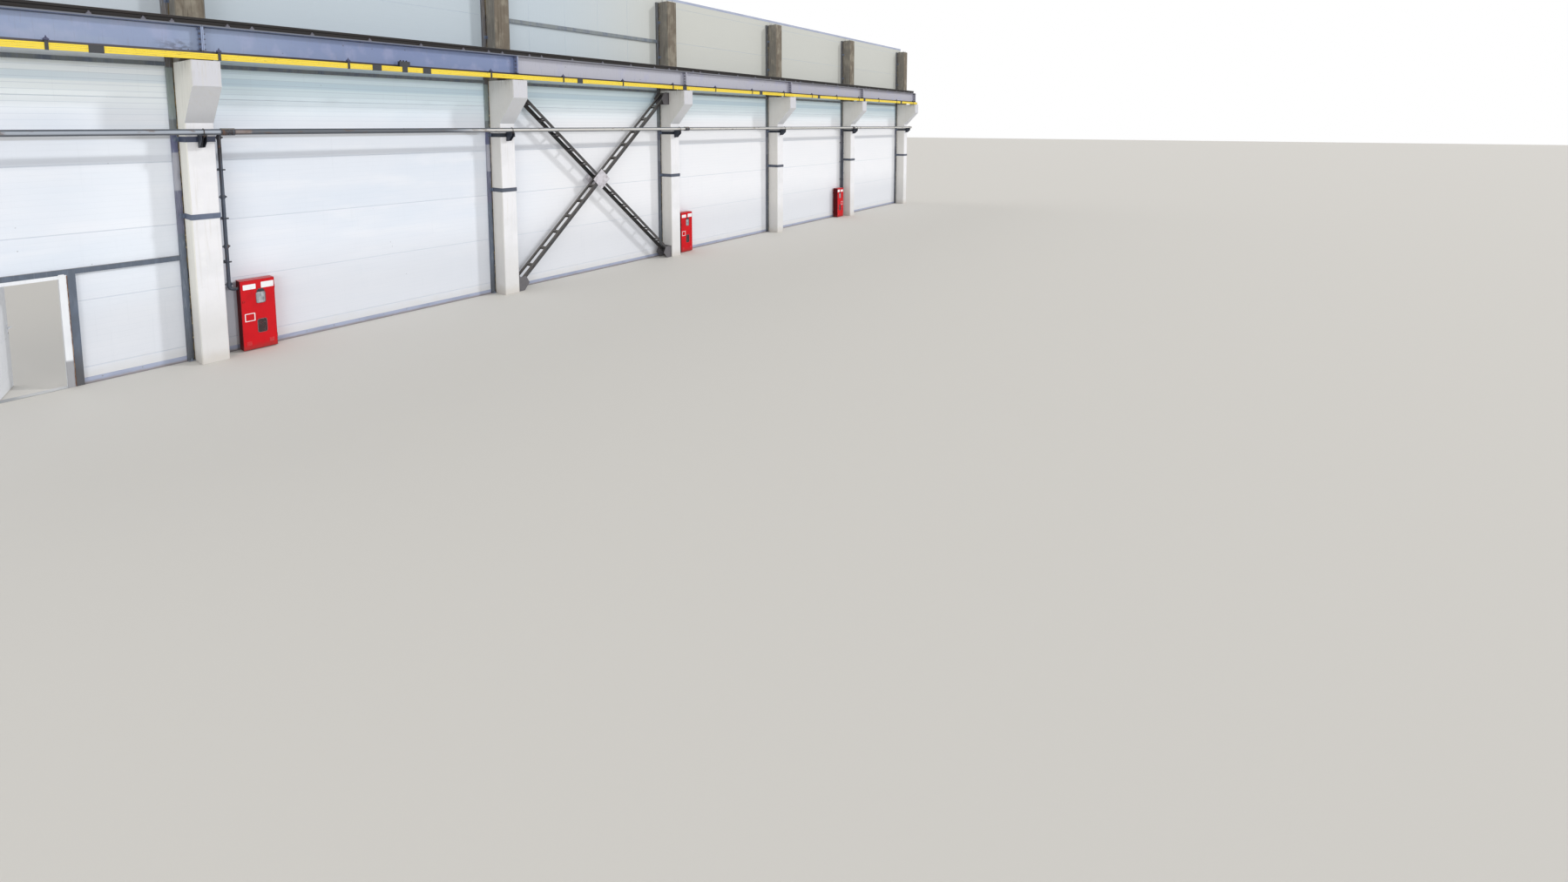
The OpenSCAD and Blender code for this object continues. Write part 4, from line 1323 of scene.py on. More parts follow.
@dataclass(frozen=True)
class Bead:
    """A lumpy bead of foam or mastic, run up a corner.

    Attributes:
        width: its width.
        lump: how far its surface wanders.
        cuts: number of cuts along it.
        seed: seed of its lumps.
    """

    width: float = 0.018
    lump: float = 0.008
    cuts: int = 110
    seed: int = 3

    def build(self, name: str, x: float, y: float, low: float, high: float) -> Piece:
        """Builds the bead upright.

        Args:
            name: the piece's name.
            x: its middle along the wall.
            y: its middle across the wall.
            low: its lower end.
            high: its upper end.

        Returns:
            The bead.
        """
        half = self.width / 2
        bead = Bench.block(name, (x - half, y - half, low), (x + half, y + half, high))
        with Bench.editing(bead, Element.EDGES, runs(Axis.Z)):
            bpy.ops.mesh.subdivide(number_cuts=self.cuts)
            bpy.ops.transform.vertex_random(offset=self.lump, seed=self.seed)
        return Bench.smooth(bead, 60.0)


@dataclass
class CraneTrack:
    """Clips of the crane rail and bolts of the girders' ends.

    Attributes:
        clip_steps: places of the clips in each bay, from its left column.
        clip: length, width and height of a clip's heel.
        toe: reach of a clip over the rail's foot.
        rail_foot: half the width of the rail's foot.
        bolt_rows: heights of the end bolts over the girder's foot.
        bolt_side: distance of the end bolts from the web.
        plate: distance from a column's centre line to an end plate's outer face.
        last_plate: the same at the wall's two ends, where one plate stands alone.
    """

    clip_steps: tuple[float, ...] = (0.37, 0.72, 1.66, 2.68, 3.71, 4.66, 5.28, 5.63)
    clip: Point = (0.066, 0.042, 0.03)
    toe: float = 0.022
    rail_foot: float = 0.062
    bolt_rows: tuple[float, ...] = (0.07, 0.16, 0.25, 0.34, 0.43)
    bolt_side: float = 0.085
    plate: float = 0.018
    last_plate: float = 0.002

    def clip_model(self) -> Piece:
        """Returns a cast clip whose toe presses on the rail's foot, with its bolt."""
        long, wide, tall = self.clip
        near, step = -self.rail_foot, tall * 0.62
        body = Bench.block("clip", (-long / 2, near - wide, 0), (long / 2, near, tall))
        with Bench.editing(body, Element.FACES, every):
            bpy.ops.mesh.bisect(plane_co=(0, 0, step), plane_no=(0, 0, 1))
        with Bench.editing(body, Element.FACES, lambda c, n: BACK(c, n) and c.z > step):
            Bench.extrude(0, self.toe, 0)
            bpy.ops.transform.resize(value=(0.7, 1, 0.8))
        Bench.scale(body, lambda c, n: FRONT(c, n) and c.z > step, 0.8, 1, 1)
        Bench.bevel(body, 0.003)
        bolt = HexBolt(0.034, 0.014, 0.004, 0.012).build("clip_bolt", at(0, near - wide * 0.45, tall))
        return Bench.join("clip", [body, bolt])

    def build(self) -> None:
        """Builds the clips and the end bolts."""
        places = [at(x + step, GIRDER_Y, GIRDER_TOP, side) for x in GRID[:-1]
                  for step in self.clip_steps for side in (0.0, 180.0)]
        fit("rail_clips", self.clip_model(), places, CLIP_PAINT)
        heads, nuts = [], []
        for i, x in enumerate(GRID):
            for side in (-1, 1):
                for row in self.bolt_rows:
                    y, z = GIRDER_Y + side * self.bolt_side, GIRDER_FOOT + row
                    left = x - self.plate if i else x + self.last_plate
                    right = x + self.plate if i < len(GRID) - 1 else x - self.last_plate
                    heads.append(at(left, y, z, -90.0, "Y"))
                    nuts.append(at(right, y, z, 90.0, "Y"))
        fit("end_plate_bolts", HexBolt().build("bolt"), heads, CLIP_PAINT)
        fit("end_plate_nuts", HexBolt(stud=0.012).build("nut"), nuts, CLIP_PAINT)


@dataclass
class ConductorRun:
    """Grips, bolts, sleeve ribs, end caps and feed glands of the conductor bars.

    Attributes:
        hangers: places of the hangers along the wall, in two runs with a wider gap at the feed.
        sleeves: places of the joint sleeves.
        ribs: places of a sleeve's ribs from its middle.
        ends: distance of the bars' ends from the wall's middle.
        bars: number of bars, one over another.
        bar_pitch: height from bar to bar.
        feed: place of the feed.
        glands: places of its glands from its middle.
        arm_top: height of the hangers' arms.
        arm_bolt: distance of an arm's bolt from the girder's middle.
        grip_out: distance of a grip from the bars' middle.
        clamp_top: height of the clamps' tops.
        bars_z: height of the lowest bar's underside.
    """

    hangers: tuple[float, ...] = steps(-15.85, 2.02, 4) + steps(-6.76, 2.02, 13)
    sleeves: tuple[float, ...] = steps(-17.35, 4.04, 3) + steps(-8.26, 4.04, 7)
    ribs: tuple[float, ...] = steps(-0.07, 0.035, 5)
    ends: float = 18.0
    bars: int = 4
    bar_pitch: float = 0.027
    feed: float = -8.72
    glands: tuple[float, ...] = steps(-0.06, 0.06, 3)
    arm_top: float = 5.672
    arm_bolt: float = 0.125
    grip_out: float = 0.0095
    clamp_top: float = 5.642
    bars_z: float = 5.53

    def grip_model(self) -> Piece:
        """Returns the grip that holds a hanger's arm, with its stud and nut."""
        jaw = Bench.block("grip", (-0.032, -0.028, 0), (0.032, 0.03, 0.022))
        with Bench.editing(jaw, Element.FACES, UP):
            bpy.ops.mesh.inset(thickness=0.008)
            Bench.extrude(0, 0, 0.012)
        Bench.bevel(jaw, 0.002)
        nut = HexBolt(0.026, 0.011, 0.003, 0.02).build("grip_nut", at(0, 0, 0.034))
        return Bench.join("grip", [jaw, nut])

    def build(self) -> None:
        """Builds the fittings of the bars."""
        places = [at(x, BAR_Y + self.grip_out, self.arm_top) for x in self.hangers]
        fit("hanger_grips", self.grip_model(), places, GRIP_PAINT)
        back = [at(x, GIRDER_Y - self.arm_bolt, self.arm_top) for x in self.hangers]
        fit("hanger_arm_bolts", HexBolt(0.022, 0.009, 0.003).build("arm_bolt"), back, ZINC)
        rib = Bench.block("rib", (-0.004, BAR_Y - 0.0185, self.clamp_top - 0.002),
                          (0.004, BAR_Y + 0.0185, self.clamp_top + 0.006))
        Bench.scale(rib, UP, 0.5, 0.92, 1)
        ribs = [at(x + step, 0, 0) for x in self.sleeves for step in self.ribs]
        fit("sleeve_ribs", rib, ribs, BLACK_MOULDING)
        cap = Bench.block("cap", (0.0, -0.0135, -0.001), (0.022, 0.0135, 0.025))
        Bench.inset(cap, RIGHT, 0.003, 0.003)
        caps = [at(side * self.ends, BAR_Y, self.bars_z + k * self.bar_pitch, 0.0 if side > 0 else 180.0)
                for side in (-1, 1) for k in range(self.bars)]
        fit("bar_end_caps", cap, caps, RUBBER)
        gland = Bench.rod("gland", (0, 0, 0), (0, 0, 0.022), 0.017, 8)
        with Bench.editing(gland, Element.FACES, UP):
            bpy.ops.mesh.inset(thickness=0.004, depth=0.006)
            bpy.ops.mesh.inset(thickness=0.003)
            Bench.extrude(0, 0, -0.012)
        glands = [at(self.feed + step, BAR_Y + 0.045, self.clamp_top + 0.11) for step in self.glands]
        fit("feed_glands", gland, glands, RUBBER)


@dataclass
class ColumnFittings:
    """Cleats of the straps, ties of the upper shafts, head bolts, foot plates and foam seams.

    Attributes:
        strap_heights: middles of the straps.
        cleat: size of a cleat's legs.
        thick: thickness of a cleat.
        tie_heights: middles of the upper shafts' ties.
        strap: thickness of a strap over the column's side, with its gap.
        studs: places of the head plate's studs from the column's middle.
        head_plate: thickness of the head plate.
    """

    strap_heights: tuple[float, ...] = (2.73, 4.138)
    cleat: float = 0.062
    thick: float = 0.008
    tie_heights: tuple[float, ...] = (6.62, 7.75)
    strap: float = 0.008
    studs: tuple[Span, ...] = ((-0.12, -0.08), (-0.12, 0.14), (0.12, -0.08), (0.12, 0.14))
    head_plate: float = 0.012

    def cleat_model(self) -> Piece:
        """Returns an angle cleat for the corner of strap and post, with a bolt through each leg."""
        t, leg = self.thick, self.cleat
        angle = Bench.block("cleat", (0, -t, -0.04), (leg, 0, 0.04))
        with Bench.editing(angle, Element.FACES, every):
            bpy.ops.mesh.bisect(plane_co=(t, 0, 0), plane_no=(1, 0, 0))
        with Bench.editing(angle, Element.FACES, lambda c, n: FRONT(c, n) and c.x < t):
            Bench.extrude(0, t - leg, 0)
        Bench.bevel(angle, 0.0015)
        bolt = HexBolt(0.026, 0.011, 0.003, 0.006)
        on_post = bolt.build("cleat_bolt", at(leg * 0.62, -t, 0, 90.0, "X"))
        on_strap = bolt.build("cleat_bolt", at(t, -leg * 0.6, 0, 90.0, "Y"))
        return Bench.join("cleat", [angle, on_post, on_strap])

    def build(self) -> None:
        """Builds the fittings of all columns."""
        mirrored = Matrix.Scale(-1, 4, (1, 0, 0))
        levels = [(z, self.strap) for z in self.strap_heights] + [(z, 0.0) for z in self.tie_heights]
        cleats = []
        for x in GRID:
            for z, strap in levels:
                reach = COLUMN_HALF + strap + AIR
                cleats.append(at(x + reach, COLUMN_REAR - AIR, z))
                cleats.append(at(x - reach, COLUMN_REAR - AIR, z) @ mirrored)
        piece = Bench.outward(Bench.repeat("strap_cleats", self.cleat_model(), cleats))
        hand_over(piece, SLATE_STEEL)
        studs = [at(x + dx, dy, COLUMN_TOP + self.head_plate) for x in GRID for dx, dy in self.studs]
        fit("head_plate_studs", HexBolt(0.04, 0.018, 0.004, 0.05).build("stud"), studs, ZINC)
        foot = Bench.block("foot", (0.0, -0.055, 0.0035), (0.0995, -0.0005, 0.0145))
        Bench.bevel(foot, 0.002)
        bolt = HexBolt(0.03, 0.013, 0.004, 0.02).build("foot_bolt", at(0.05, -0.028, 0.0145))
        foot = Bench.join("foot", [foot, bolt])
        feet = [at(x + (COLUMN_HALF + 0.0005 if side > 0 else -COLUMN_HALF - 0.1), COLUMN_REAR, 0)
                for x in GRID for side in (-1, 1)]
        fit("post_feet", foot, feet, SLATE_STEEL)
        beads = []
        for i, x in enumerate(GRID):
            for side in (-1, 1):
                seam = x + side * (COLUMN_HALF + 0.004)
                beads.append(Bead(0.016, 0.008, 120, 3 + 2 * i + (side > 0)).build(
                    "seam_bead", seam, COLUMN_REAR - 0.006, 0.02, COLUMN_TOP - 0.02))
        hand_over(Bench.join("column_seam_foam", beads), FOAM)


@dataclass
class FireMain:
    """Pipe clips, weld rings and coupling bolts of the main and its risers.

    Attributes:
        clip_rod: radius of a clip's round bar.
        riser_x: places of the risers.
        coupling_z: middles of the risers' couplings.
        clip_z: heights of the risers' wall clips.
        riser_y: the risers' middle across the wall.
        riser_r: their radius.
        seam_side: distance of the tee's weld rings from its middle.
        seam_x: places of the main's other weld rings.
        lug_side: distance of a coupling's lugs from the riser's middle.
        cheek_side: distance of a bracket's cheeks from its middle.
    """

    clip_rod: float = 0.006
    riser_x: tuple[float, ...] = (-11.66, 0.34, 11.66)
    coupling_z: tuple[float, ...] = (1.35, 2.085, 3.035, 4.16)
    clip_z: tuple[float, ...] = (1.78, 2.62, 3.55)
    riser_y: float = 0.115
    riser_r: float = 0.03
    seam_side: float = 0.103
    seam_x: tuple[float, ...] = (-14.6, -8.6, -3.1, 2.9, 8.9, 14.9)
    lug_side: float = 0.046
    cheek_side: float = 0.0365

    def u_bolt(self) -> Piece:
        """Returns a round bar bent over the main, its plate under the bracket's shelf and two nuts."""
        r = MAIN_R + self.clip_rod + 0.0005
        Bench.clear()
        bpy.ops.mesh.primitive_circle_add(vertices=8, radius=self.clip_rod, fill_type="NOTHING",
                                          location=(0, r, 0))
        bar = Bench.settle("u_bolt")
        with Bench.editing(bar, Element.EDGES, every):
            bpy.ops.mesh.select_all(action="SELECT")
            bpy.ops.mesh.spin(steps=14, angle=-math.pi, center=(0, 0, 0), axis=(1, 0, 0))
        for side in (-1, 1):
            with Bench.editing(bar, Element.VERTS, lambda c, n, s=side: abs(c.z) < 1e-4 and c.y * s > 0):
                bpy.ops.mesh.select_mode(type="EDGE")
                Bench.extrude(0, 0, -MAIN_R - 0.045)
                bpy.ops.mesh.edge_face_add()
        Bench.outward(bar)
        under = -MAIN_R - 0.0103
        plate = Bench.block("saddle", (-0.028, -r - 0.022, under - 0.008), (0.028, r + 0.022, under))
        Bench.round_corners(plate, Axis.Z, 0.01, 2)
        parts = [bar, plate]
        for side in (-1, 1):
            place = at(0, side * r, under - 0.008, 180.0, "X")
            parts.append(HexBolt(0.024, 0.01, 0.003).build("saddle_nut", place))
        return Bench.smooth(Bench.join("u_bolt", parts))

    def cheek(self) -> Piece:
        """Returns a bracket's side plate, deep under the main and cut back to its foot."""
        back, nose, foot, shelf = -0.2472, MAIN_Y - MAIN_R + 0.002, 3.992, 4.2055
        plate = Bench.block("cheek", (-0.003, nose, foot), (0.003, back, shelf))
        with Bench.editing(plate, Element.FACES, every):
            bpy.ops.mesh.bisect(plane_co=(0, nose, 4.118), plane_no=(0, -0.126, -0.15),
                                clear_outer=True, use_fill=True)
        return Bench.bevel(plate, 0.0008)

    def ring_clip(self) -> Piece:
        """Returns a ring round a riser, with bolted lugs and the stem that holds it off the panels."""
        r, wall = self.riser_r, PANEL_IN - self.riser_y
        Bench.clear()
        bpy.ops.mesh.primitive_cylinder_add(
            vertices=20, radius=r + 0.006, depth=0.03, end_fill_type="NOTHING")
        ring = Bench.settle("ring_clip")
        shell = ring.modifiers.new("sheet", "SOLIDIFY")
        shell.thickness, shell.offset = 0.005, -1.0
        bpy.ops.object.modifier_apply(modifier=shell.name)
        Bench.smooth(ring)
        parts = [ring]
        for side in (-1, 1):
            lug = Bench.block("lug", (side * (r + 0.004) - 0.001, -0.007, -0.014),
                              (side * (r + 0.034) + 0.001, 0.007, 0.014))
            Bench.bevel(lug, 0.002)
            parts.append(lug)
            place = at(side * (r + 0.02), -0.007, 0, 90.0, "X")
            parts.append(HexBolt(0.02, 0.009, 0.002, 0.004).build("lug_bolt", place))
        parts.append(Bench.rod("stem", (0, r + 0.004, 0), (0, wall, 0), 0.006, 8))
        parts.append(Bench.rod("stem_pad", (0, wall - 0.006, 0), (0, wall, 0), 0.022, 12))
        return Bench.join("ring_clip", parts)

    def build(self) -> None:
        """Builds the clips, rings and bolts."""
        fit("main_u_bolts", self.u_bolt(), [at(x, MAIN_Y, MAIN_Z) for x in GRID], BLACK_STEEL)
        sides = [at(x + s * self.cheek_side, 0, 0) for x in GRID for s in (-1, 1)]
        fit("bracket_cheeks", self.cheek(), sides, BRACKET_BLACK)
        bead = Bench.rod("weld_ring", (-0.005, 0, 0), (0.005, 0, 0), MAIN_R + 0.0005, 24)
        with Bench.editing(bead, Element.FACES, lambda c, n: abs(n.x) > ALONG):
            bpy.ops.mesh.delete(type="ONLY_FACE")
        with Bench.editing(bead, Element.EDGES, runs(Axis.X)):
            bpy.ops.mesh.subdivide(number_cuts=3)
        with Bench.editing(bead, Element.VERTS, lambda c, n: abs(c.x) < 0.004):
            bpy.ops.transform.resize(value=(1, 1.05, 1.05), center_override=(0, 0, 0))
        Bench.smooth(bead)
        joints = [x + s * self.seam_side for x in self.riser_x for s in (-1, 1)] + list(self.seam_x)
        fit("main_weld_rings", bead, [at(x, MAIN_Y, MAIN_Z) for x in joints], MAIN_PAINT)
        clips = [at(x, self.riser_y, z) for x in self.riser_x for z in self.clip_z]
        fit("riser_clips", self.ring_clip(), clips, BRACKET_BLACK)
        lugs = [at(x + s * self.lug_side, self.riser_y, z)
                for x in self.riser_x for z in self.coupling_z for s in (-1, 1)]
        body = Bench.block("coupling_lug", (-0.011, -0.016, -0.016), (0.011, 0.016, 0.016))
        Bench.bevel(body, 0.004, 2)
        bolt = HexBolt(0.018, 0.008, 0.002, 0.004).build("coupling_bolt", at(0, -0.016, 0, 90.0, "X"))
        fit("coupling_lugs", Bench.join("coupling_lug", [body, bolt]), lugs, RISER_PAINT)


@dataclass
class HoseCabinet:
    """The panes, plates, latch and vents on the door of one hose cabinet.

    Attributes:
        number: the cabinet's number.
        column: its column's place along the wall.
        side: 1 where it stands right of its column, -1 left.
        offset: distance from the column's centre to its near side.
        foot: height of its foot over the floor.
        windows: lower edge and height of each window, from its foot.
        window_x: near side of the windows.
        window_w: width of the windows.
        plates: reach of each plain plate, across from the near side and up from the foot.
        outlined: the same for the plate with a coloured field.
        vents: near side of each row of vent slats.
        slats: number of slats in a row.
        slat_pitch: height from slat to slat.
    """

    number: int
    column: float
    side: int
    offset: float = 0.470
    foot: float = 0.015
    windows: tuple[Span, ...] = ((0.900, 0.215), (0.315, 0.260))
    window_x: float = 0.243
    window_w: float = 0.140
    plates: tuple[tuple[Span, Span], ...] = (
        ((0.043, 0.242), (1.19, 1.29)), ((0.326, 0.527), (1.19, 1.307)))
    outlined: tuple[Span, Span] = ((0.046, 0.208), (0.563, 0.72))
    vents: tuple[float, ...] = (0.05, 0.41)
    slats: int = 5
    slat_pitch: float = 0.016

    def box(self, name: str, x: Span, y: Span, z: Span) -> Piece:
        """Adds a box given from the cabinet's near lower corner.

        Args:
            name: the piece's name.
            x: its reach from the near side.
            y: its reach across the wall.
            z: its reach from the foot.

        Returns:
            The box.
        """
        ends = sorted(self.column + self.side * (self.offset + v) for v in x)
        return Bench.block(name, (ends[0], y[0], self.foot + z[0]), (ends[1], y[1], self.foot + z[1]))

    def build(self) -> None:
        """Builds the pieces of the cabinet's door."""
        door, tag = f"cabinet_door_{self.number}", f"hose_cabinet_{self.number}"
        x0, x1 = self.window_x, self.window_x + self.window_w
        seals = []
        for k, (low, tall) in enumerate(self.windows):
            pane = self.box(f"{tag}_pane_{k + 1}", (x0 - 0.005, x1 + 0.005), (0.0066, 0.0096),
                            (low - 0.005, low + tall + 0.005))
            Bench.round_corners(pane, Axis.Y, 0.032, 5)
            Bench.inset(pane, FRONT, 0.012, 0.001)
            hand_over(pane, CLEAR_PANE if k else FROSTED_PANE, door)
            seal = self.box(f"{tag}_seal", (x0 - 0.007, x1 + 0.007), (-0.003, 0.002),
                            (low - 0.007, low + tall + 0.007))
            Bench.round_corners(seal, Axis.Y, 0.036, 5)
            with Bench.editing(seal, Element.FACES, lambda c, n: abs(n.y) > ALONG):
                bpy.ops.mesh.inset(thickness=0.008)
                bpy.ops.mesh.delete(type="FACE")
            seals.append(self.close_ring(seal))
        hand_over(Bench.join(f"{tag}_window_seals", seals), GREY_RUBBER, door)
        plates = [self.plate(f"{tag}_plate", x, z) for x, z in self.plates]
        hand_over(Bench.join(f"{tag}_plates", plates), WHITE_ENAMEL, door)
        hand_over(self.plate(f"{tag}_outlined_plate", *self.outlined), WHITE_ENAMEL, door)
        centre = self.box(f"{tag}_plate_centre", (0.06, 0.194), (-0.0021, -0.0012), (0.577, 0.706))
        Bench.round_corners(centre, Axis.Y, 0.006, 3)
        Bench.inset(centre, FRONT, 0.003, -0.0003)
        hand_over(centre, CABINET_RED, door)
        latch = self.box(f"{tag}_latch", (0.275, 0.355), (-0.006, 0.0), (1.148, 1.182))
        latch_base = self.box(f"{tag}_latch_base", (0.252, 0.378), (-0.005, 0.0), (1.12, 1.156))
        Bench.inset(latch_base, FRONT, 0.003, -0.0015)
        with Bench.editing(latch, Element.FACES, FRONT):
            Bench.extrude(0, -0.008, -0.004)
            bpy.ops.transform.resize(value=(0.85, 1, 0.7))
        Bench.bevel(latch, 0.001)
        hand_over(Bench.join(f"{tag}_latch", [latch, latch_base]), BLACK_MOULDING, door)
        slats = []
        for near in self.vents:
            for k in range(self.slats):
                rise = self.slat_pitch * k
                slat = self.box(
                    f"{tag}_slat", (near, near + 0.08), (-0.0045, 0.0), (0.09 + rise, 0.097 + rise))
                with Bench.editing(slat, Element.FACES, FRONT):
                    bpy.ops.transform.translate(value=(0, 0, -0.003))
                    bpy.ops.transform.resize(value=(0.92, 1, 0.5))
                slats.append(slat)
        hand_over(Bench.join(f"{tag}_vents", slats), CABINET_RED, door)

    def plate(self, name: str, x: Span, z: Span) -> Piece:
        """Returns a thin bare plate with rounded corners, a rim and four rivets.

        Args:
            name: the piece's name.
            x: its reach from the near side.
            z: its reach from the foot.
        """
        sheet = Bench.round_corners(self.box(name, x, (-0.0015, -0.0001), z), Axis.Y, 0.008, 3)
        Bench.inset(sheet, FRONT, 0.004, -0.0004)
        parts = [sheet]
        for px in (x[0] + 0.012, x[1] - 0.012):
            for pz in (z[0] + 0.012, z[1] - 0.012):
                x_at, z_at = self.column + self.side * (self.offset + px), self.foot + pz
                rivet = Bench.rod("rivet", (x_at, 0, z_at), (x_at, -0.003, z_at), 0.003, 8)
                Bench.inset(rivet, FRONT, 0.0012, 0.0006)
                parts.append(rivet)
        return Bench.join(name, parts)

    @staticmethod
    def close_ring(ring: Piece) -> Piece:
        """Bridges the two open borders of a ring's hole and returns it."""
        with Bench.editing(ring, Element.EDGES, lambda c, d: False):
            bpy.ops.mesh.select_non_manifold()
            bpy.ops.mesh.bridge_edge_loops()
        return Bench.outward(ring)


@dataclass
class Doorway:
    """Seal, threshold, mastic, corner plates and the fittings of the door leaf.

    Attributes:
        left: left side of the clear opening.
        right: right side of the clear opening.
        high: height of the clear opening.
        frame: width of the frame's face.
        rebate: depth of the frame's rebate to each side.
        seal_y: reach of the seal across the wall.
        hinge: place of the leaf's pins.
        open_by: angle by which the leaf stands open, in degrees.
    """

    left: float = -14.56
    right: float = -13.81
    high: float = 1.85
    frame: float = 0.09
    rebate: float = 0.018
    seal_y: Span = (0.3452, 0.3492)
    hinge: Span = (-14.5755, 0.398)
    open_by: float = 75.0

    def hang(self, name: str, parts: Sequence[Piece], finish: Finish) -> None:
        """Turns parts drawn on the shut leaf to where it stands, and hands them over as one piece.

        Args:
            name: the piece's name.
            parts: the parts.
            finish: their surface.
        """
        pin = Vector((*self.hinge, 0.0))
        swing = at(*pin, self.open_by) @ Matrix.Translation(-pin)
        hand_over(Bench.repeat(name, Bench.join(name, parts), [swing]), finish, "door_leaf")

    def build(self) -> None:
        """Builds the doorway's pieces."""
        x0, x1, r = self.left, self.right, self.rebate
        front, back = self.seal_y
        top = self.high + 0.012
        strips = [
            Bench.block("strip", (x0 - r, front, 0.01), (x0 - 0.004, back, top)),
            Bench.block("strip", (x1 + 0.004, front, 0.01), (x1 + r, back, top)),
            Bench.block("strip", (x0 - 0.004, front, self.high + 0.003), (x1 + 0.004, back, top)),
        ]
        for strip in strips:
            Bench.inset(strip, BACK, 0.002, -0.001)
        hand_over(Bench.join("door_seal", strips), RUBBER)
        sill = Bench.block(
            "door_threshold", (x0 + 0.0005, COLUMN_REAR, 0.0), (x1 - 0.0005, PANEL_OUT, 0.006))
        with Bench.editing(sill, Element.FACES, UP):
            bpy.ops.mesh.inset(thickness=0.012, depth=0.0015)
            bpy.ops.mesh.subdivide(number_cuts=6)
        Bench.bevel(sill, 0.001)
        hand_over(sill, STAINLESS)
        seams = [
            Bead(0.009, 0.004, 60, seed).build("seam", x, COLUMN_REAR - 0.0025, 0.01, self.high + 0.05)
            for x, seed in ((x1 + self.frame, 21), (x0 - self.frame, 22))]
        hand_over(Bench.join("door_frame_mastic", seams), RUSTY_SEAM)
        corner = Bench.block("corner", (-0.035, -0.004, -0.02), (0.035, 0, 0.03))
        Bench.round_corners(corner, Axis.Y, 0.008, 2)
        screw = HexBolt(0.012, 0.004, 0.001).build("corner_screw")
        places = [at(s * 0.02, -0.004, 0.005, 90.0, "X") for s in (-1, 1)]
        screws = Bench.repeat("corner_screws", screw, places)
        corner = Bench.join("corner", [corner, screws])
        places = [at(x, COLUMN_REAR - 0.0002, self.high + 0.045) for x in (x0 - 0.03, x1 + 0.03)]
        fit("frame_corner_plates", corner, places, DOOR_WHITE)
        self.build_leaf()

    def build_leaf(self) -> None:
        """Builds the kick plates, the closer, the lock and the pressed panels of the leaf."""
        low_x, high_x = self.left - self.rebate + 0.005, self.right + self.rebate - 0.005
        inner, outer = PANEL_OUT - 0.04, PANEL_OUT
        lock_x, lock_z = high_x - 0.06, 0.925
        kicks = []
        for face, out in ((inner, -1), (outer, 1)):
            ys = sorted((face + out * 0.0002, face + out * 0.0017))
            kick = Bench.block("kick", (low_x + 0.04, ys[0], 0.03), (high_x - 0.04, ys[1], 0.23))
            Bench.inset(kick, looks(0, out, 0), 0.006, 0.0006)
            kicks.append(kick)
        self.hang("leaf_kick_plates", kicks, DOOR_WHITE)
        pressed = []
        for face, out in ((inner, -1), (outer, 1)):
            for z in ((0.34, 0.86), (1.16, 1.76)):
                ys = sorted((face, face + out * 0.003))
                field = Bench.block("field", (low_x + 0.11, ys[0], z[0]), (high_x - 0.11, ys[1], z[1]))
                with Bench.editing(field, Element.FACES, looks(0, out, 0)):
                    bpy.ops.mesh.inset(thickness=0.012, depth=-0.0022)
                    bpy.ops.mesh.inset(thickness=0.03, depth=0.0022)
                pressed.append(field)
        self.hang("leaf_pressed_fields", pressed, DOOR_WHITE)
        foot, top = self.high - 0.1, self.high - 0.045
        case = Bench.block(
            "closer", (low_x + 0.07, inner - 0.042, foot), (low_x + 0.3, inner - AIR, top))
        Bench.inset(case, FRONT, 0.006, 0.004)
        Bench.bevel(case, 0.003, 2)
        arm_x, arm_y = low_x + 0.13, inner - 0.03
        arm = Bench.rod("arm", (arm_x, arm_y, top), (arm_x, arm_y, self.high - 0.03), 0.012, 12)
        self.hang("leaf_closer", [case, arm], ZINC)
        locks = []
        for face, out in ((inner, -1), (outer, 1)):
            lock = Bench.rod("lock", (lock_x, face - 0.0001 * out, lock_z),
                             (lock_x, face + out * 0.009, lock_z), 0.016, 20)
            Bench.inset(lock, looks(0, out, 0), 0.005, -0.002)
            locks.append(Bench.smooth(lock))
        self.hang("leaf_lock_cylinders", locks, STAINLESS)


@dataclass
class Bracing:
    """Bolts of the cross bracing's end plates and middle gussets.

    Attributes:
        ends: x of each end plate's face and the way it looks.
        low: middle height of the lower end plates.
        high: middle height of the upper end plates.
        middle: the crossing's place.
        angle: angle of the rising diagonal in degrees.
        anchors: places of an end plate's bolts from its middle, across and up.
        gusset: places of the middle gusset's bolts, along the rising diagonal and across it.
    """

    ends: tuple[tuple[float, int], ...] = ((-5.788, 1), (-0.212, -1))
    low: float = 0.19
    high: float = 5.26
    middle: Point = (-3.0, 0.178, 2.8)
    angle: float = 43.424
    anchors: tuple[Span, ...] = tuple((y, z) for y in (-0.11, 0.0, 0.11) for z in (-0.14, 0.14))
    gusset: tuple[Span, ...] = ((-0.17, 0.1), (-0.17, -0.1), (0.17, 0.1), (0.17, -0.1),
                                (-0.07, 0.17), (0.07, 0.17), (-0.07, -0.17), (0.07, -0.17))

    def build(self) -> None:
        """Builds the bolts."""
        anchor = HexBolt(0.04, 0.017, 0.004, 0.016).build("anchor")
        places = [at(x, y, z + dz, 90.0 * way, "Y")
                  for x, way in self.ends for z in (self.low, self.high) for y, dz in self.anchors]
        fit("brace_anchor_bolts", anchor, places, BLACK_STEEL)
        turn = Matrix.Rotation(math.radians(-self.angle), 4, "Y")
        places = []
        for face in (-1, 1):
            for along, across in self.gusset:
                spot = Vector(self.middle) * Vector((1, 0, 1)) + turn @ Vector((along, 0, across))
                places.append(at(spot.x, face * self.middle[1], spot.z, -90.0 * face, "X"))
        bolt = HexBolt(0.03, 0.013, 0.003, 0.008).build("gusset_bolt")
        fit("gusset_bolts", bolt, places, GUSSET_PAINT)


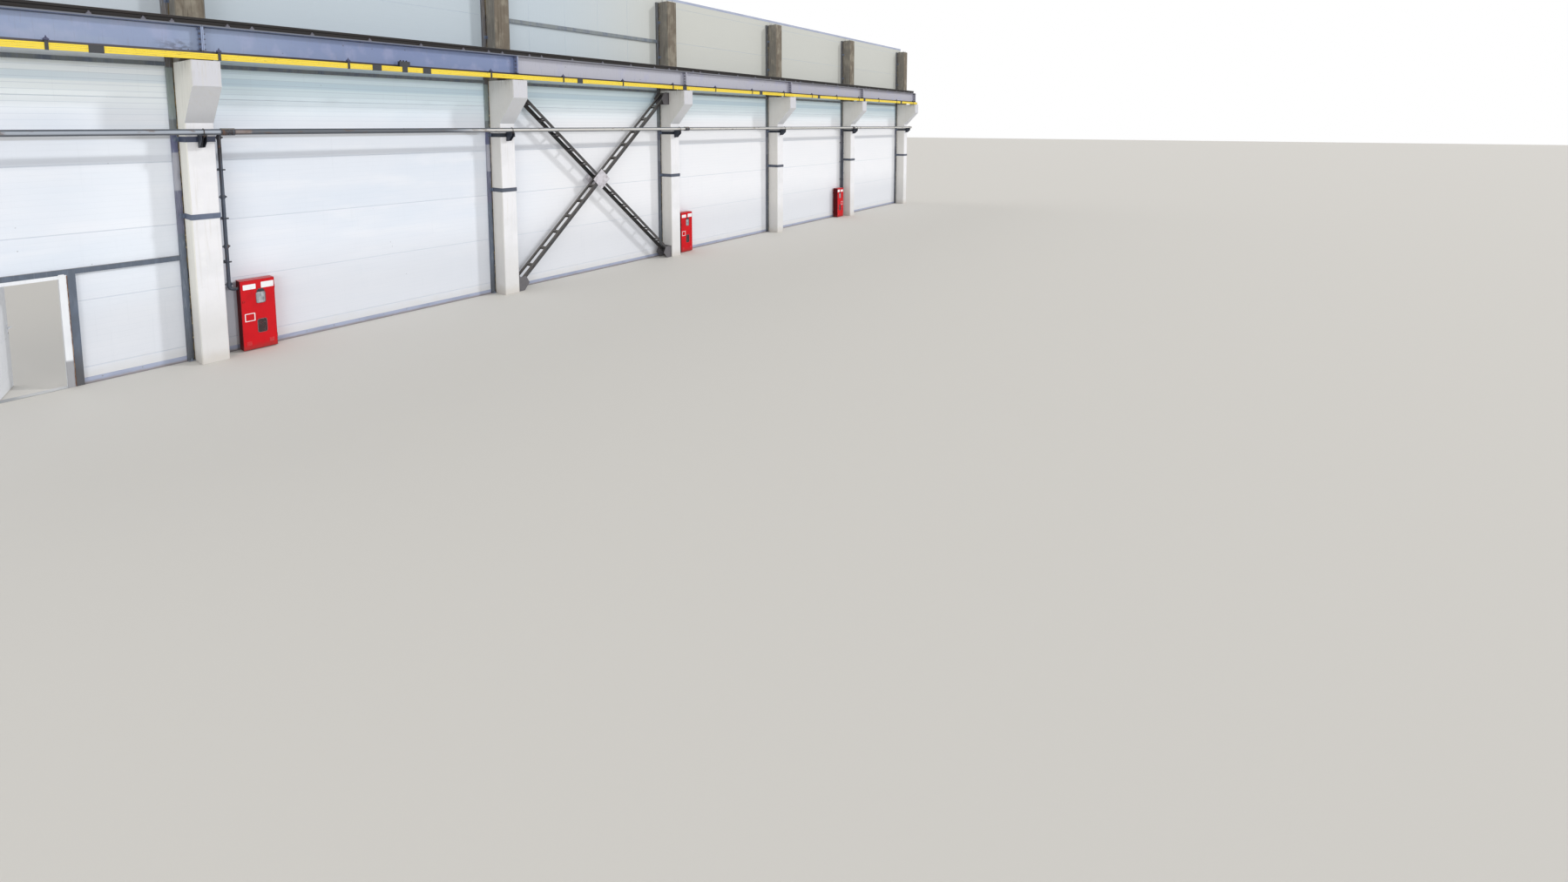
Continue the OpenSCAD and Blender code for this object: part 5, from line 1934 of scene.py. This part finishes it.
@dataclass
class Cladding:
    """Screws of the sheet work inside and outside.

    Attributes:
        strip_side: distance of the cover strips' screws from a column's centre line.
        strip_reach: heights between which these screws stand.
        foot_reach: where the foot flashing's screws start and end in a bay, from its left column.
        foot_z: their height.
        gap: where the doorway leaves them out.
        pitch: spacing of the screws.
    """

    strip_side: float = 0.12
    strip_reach: Span = (0.35, 8.5)
    foot_reach: Span = (0.6, 5.6)
    foot_z: float = 0.07
    gap: Span = (-14.8, -13.55)
    pitch: float = 0.5

    def build(self) -> None:
        """Builds the rows of screws."""
        outside = []
        for x in GRID:
            for side in (-1, 1):
                z = self.strip_reach[0]
                while z < self.strip_reach[1]:
                    outside.append(at(x + side * self.strip_side, PANEL_OUT + 0.003, z, -90.0, "X"))
                    z += self.pitch
        fit("cover_strip_screws", self.screw("screw"), outside, ZINC)
        inside = []
        for start in GRID[:-1]:
            x = start + self.foot_reach[0]
            while x < start + self.foot_reach[1]:
                if not self.gap[0] < x < self.gap[1]:
                    inside.append(at(x, PANEL_IN - 0.003, self.foot_z, 90.0, "X"))
                x += self.pitch
        fit("foot_flashing_screws", self.screw("screw"), inside, ZINC)

    @staticmethod
    def screw(name: str) -> Piece:
        """Returns a self-drilling screw on its sealing washer, along +Z."""
        cup = Bench.rod(name + "_washer", (0, 0, 0), (0, 0, 0.003), 0.01, 8)
        Bench.scale(cup, UP, 0.7, 0.7, 1)
        head = Bench.rod(name, (0, 0, 0.003), (0, 0, 0.009), 0.0055, 6)
        Bench.inset(head, UP, 0.001, 0.0006)
        return Bench.join(name, [cup, head])


def main() -> None:
    """Builds the classes in order and reports each piece."""
    logging.basicConfig(level=logging.INFO, format="%(message)s")
    bpy.context.scene.view_settings.view_transform = "Standard"
    Camera().build()
    Stage().build()
    dress_frame()
    CraneTrack().build()
    ConductorRun().build()
    ColumnFittings().build()
    FireMain().build()
    for number, column, side in ((1, -12.0, 1), (2, 0.0, 1), (3, 12.0, -1)):
        HoseCabinet(number, column, side).build()
    Doorway().build()
    Bracing().build()
    Cladding().build()


if __name__ == "__main__":
    main()
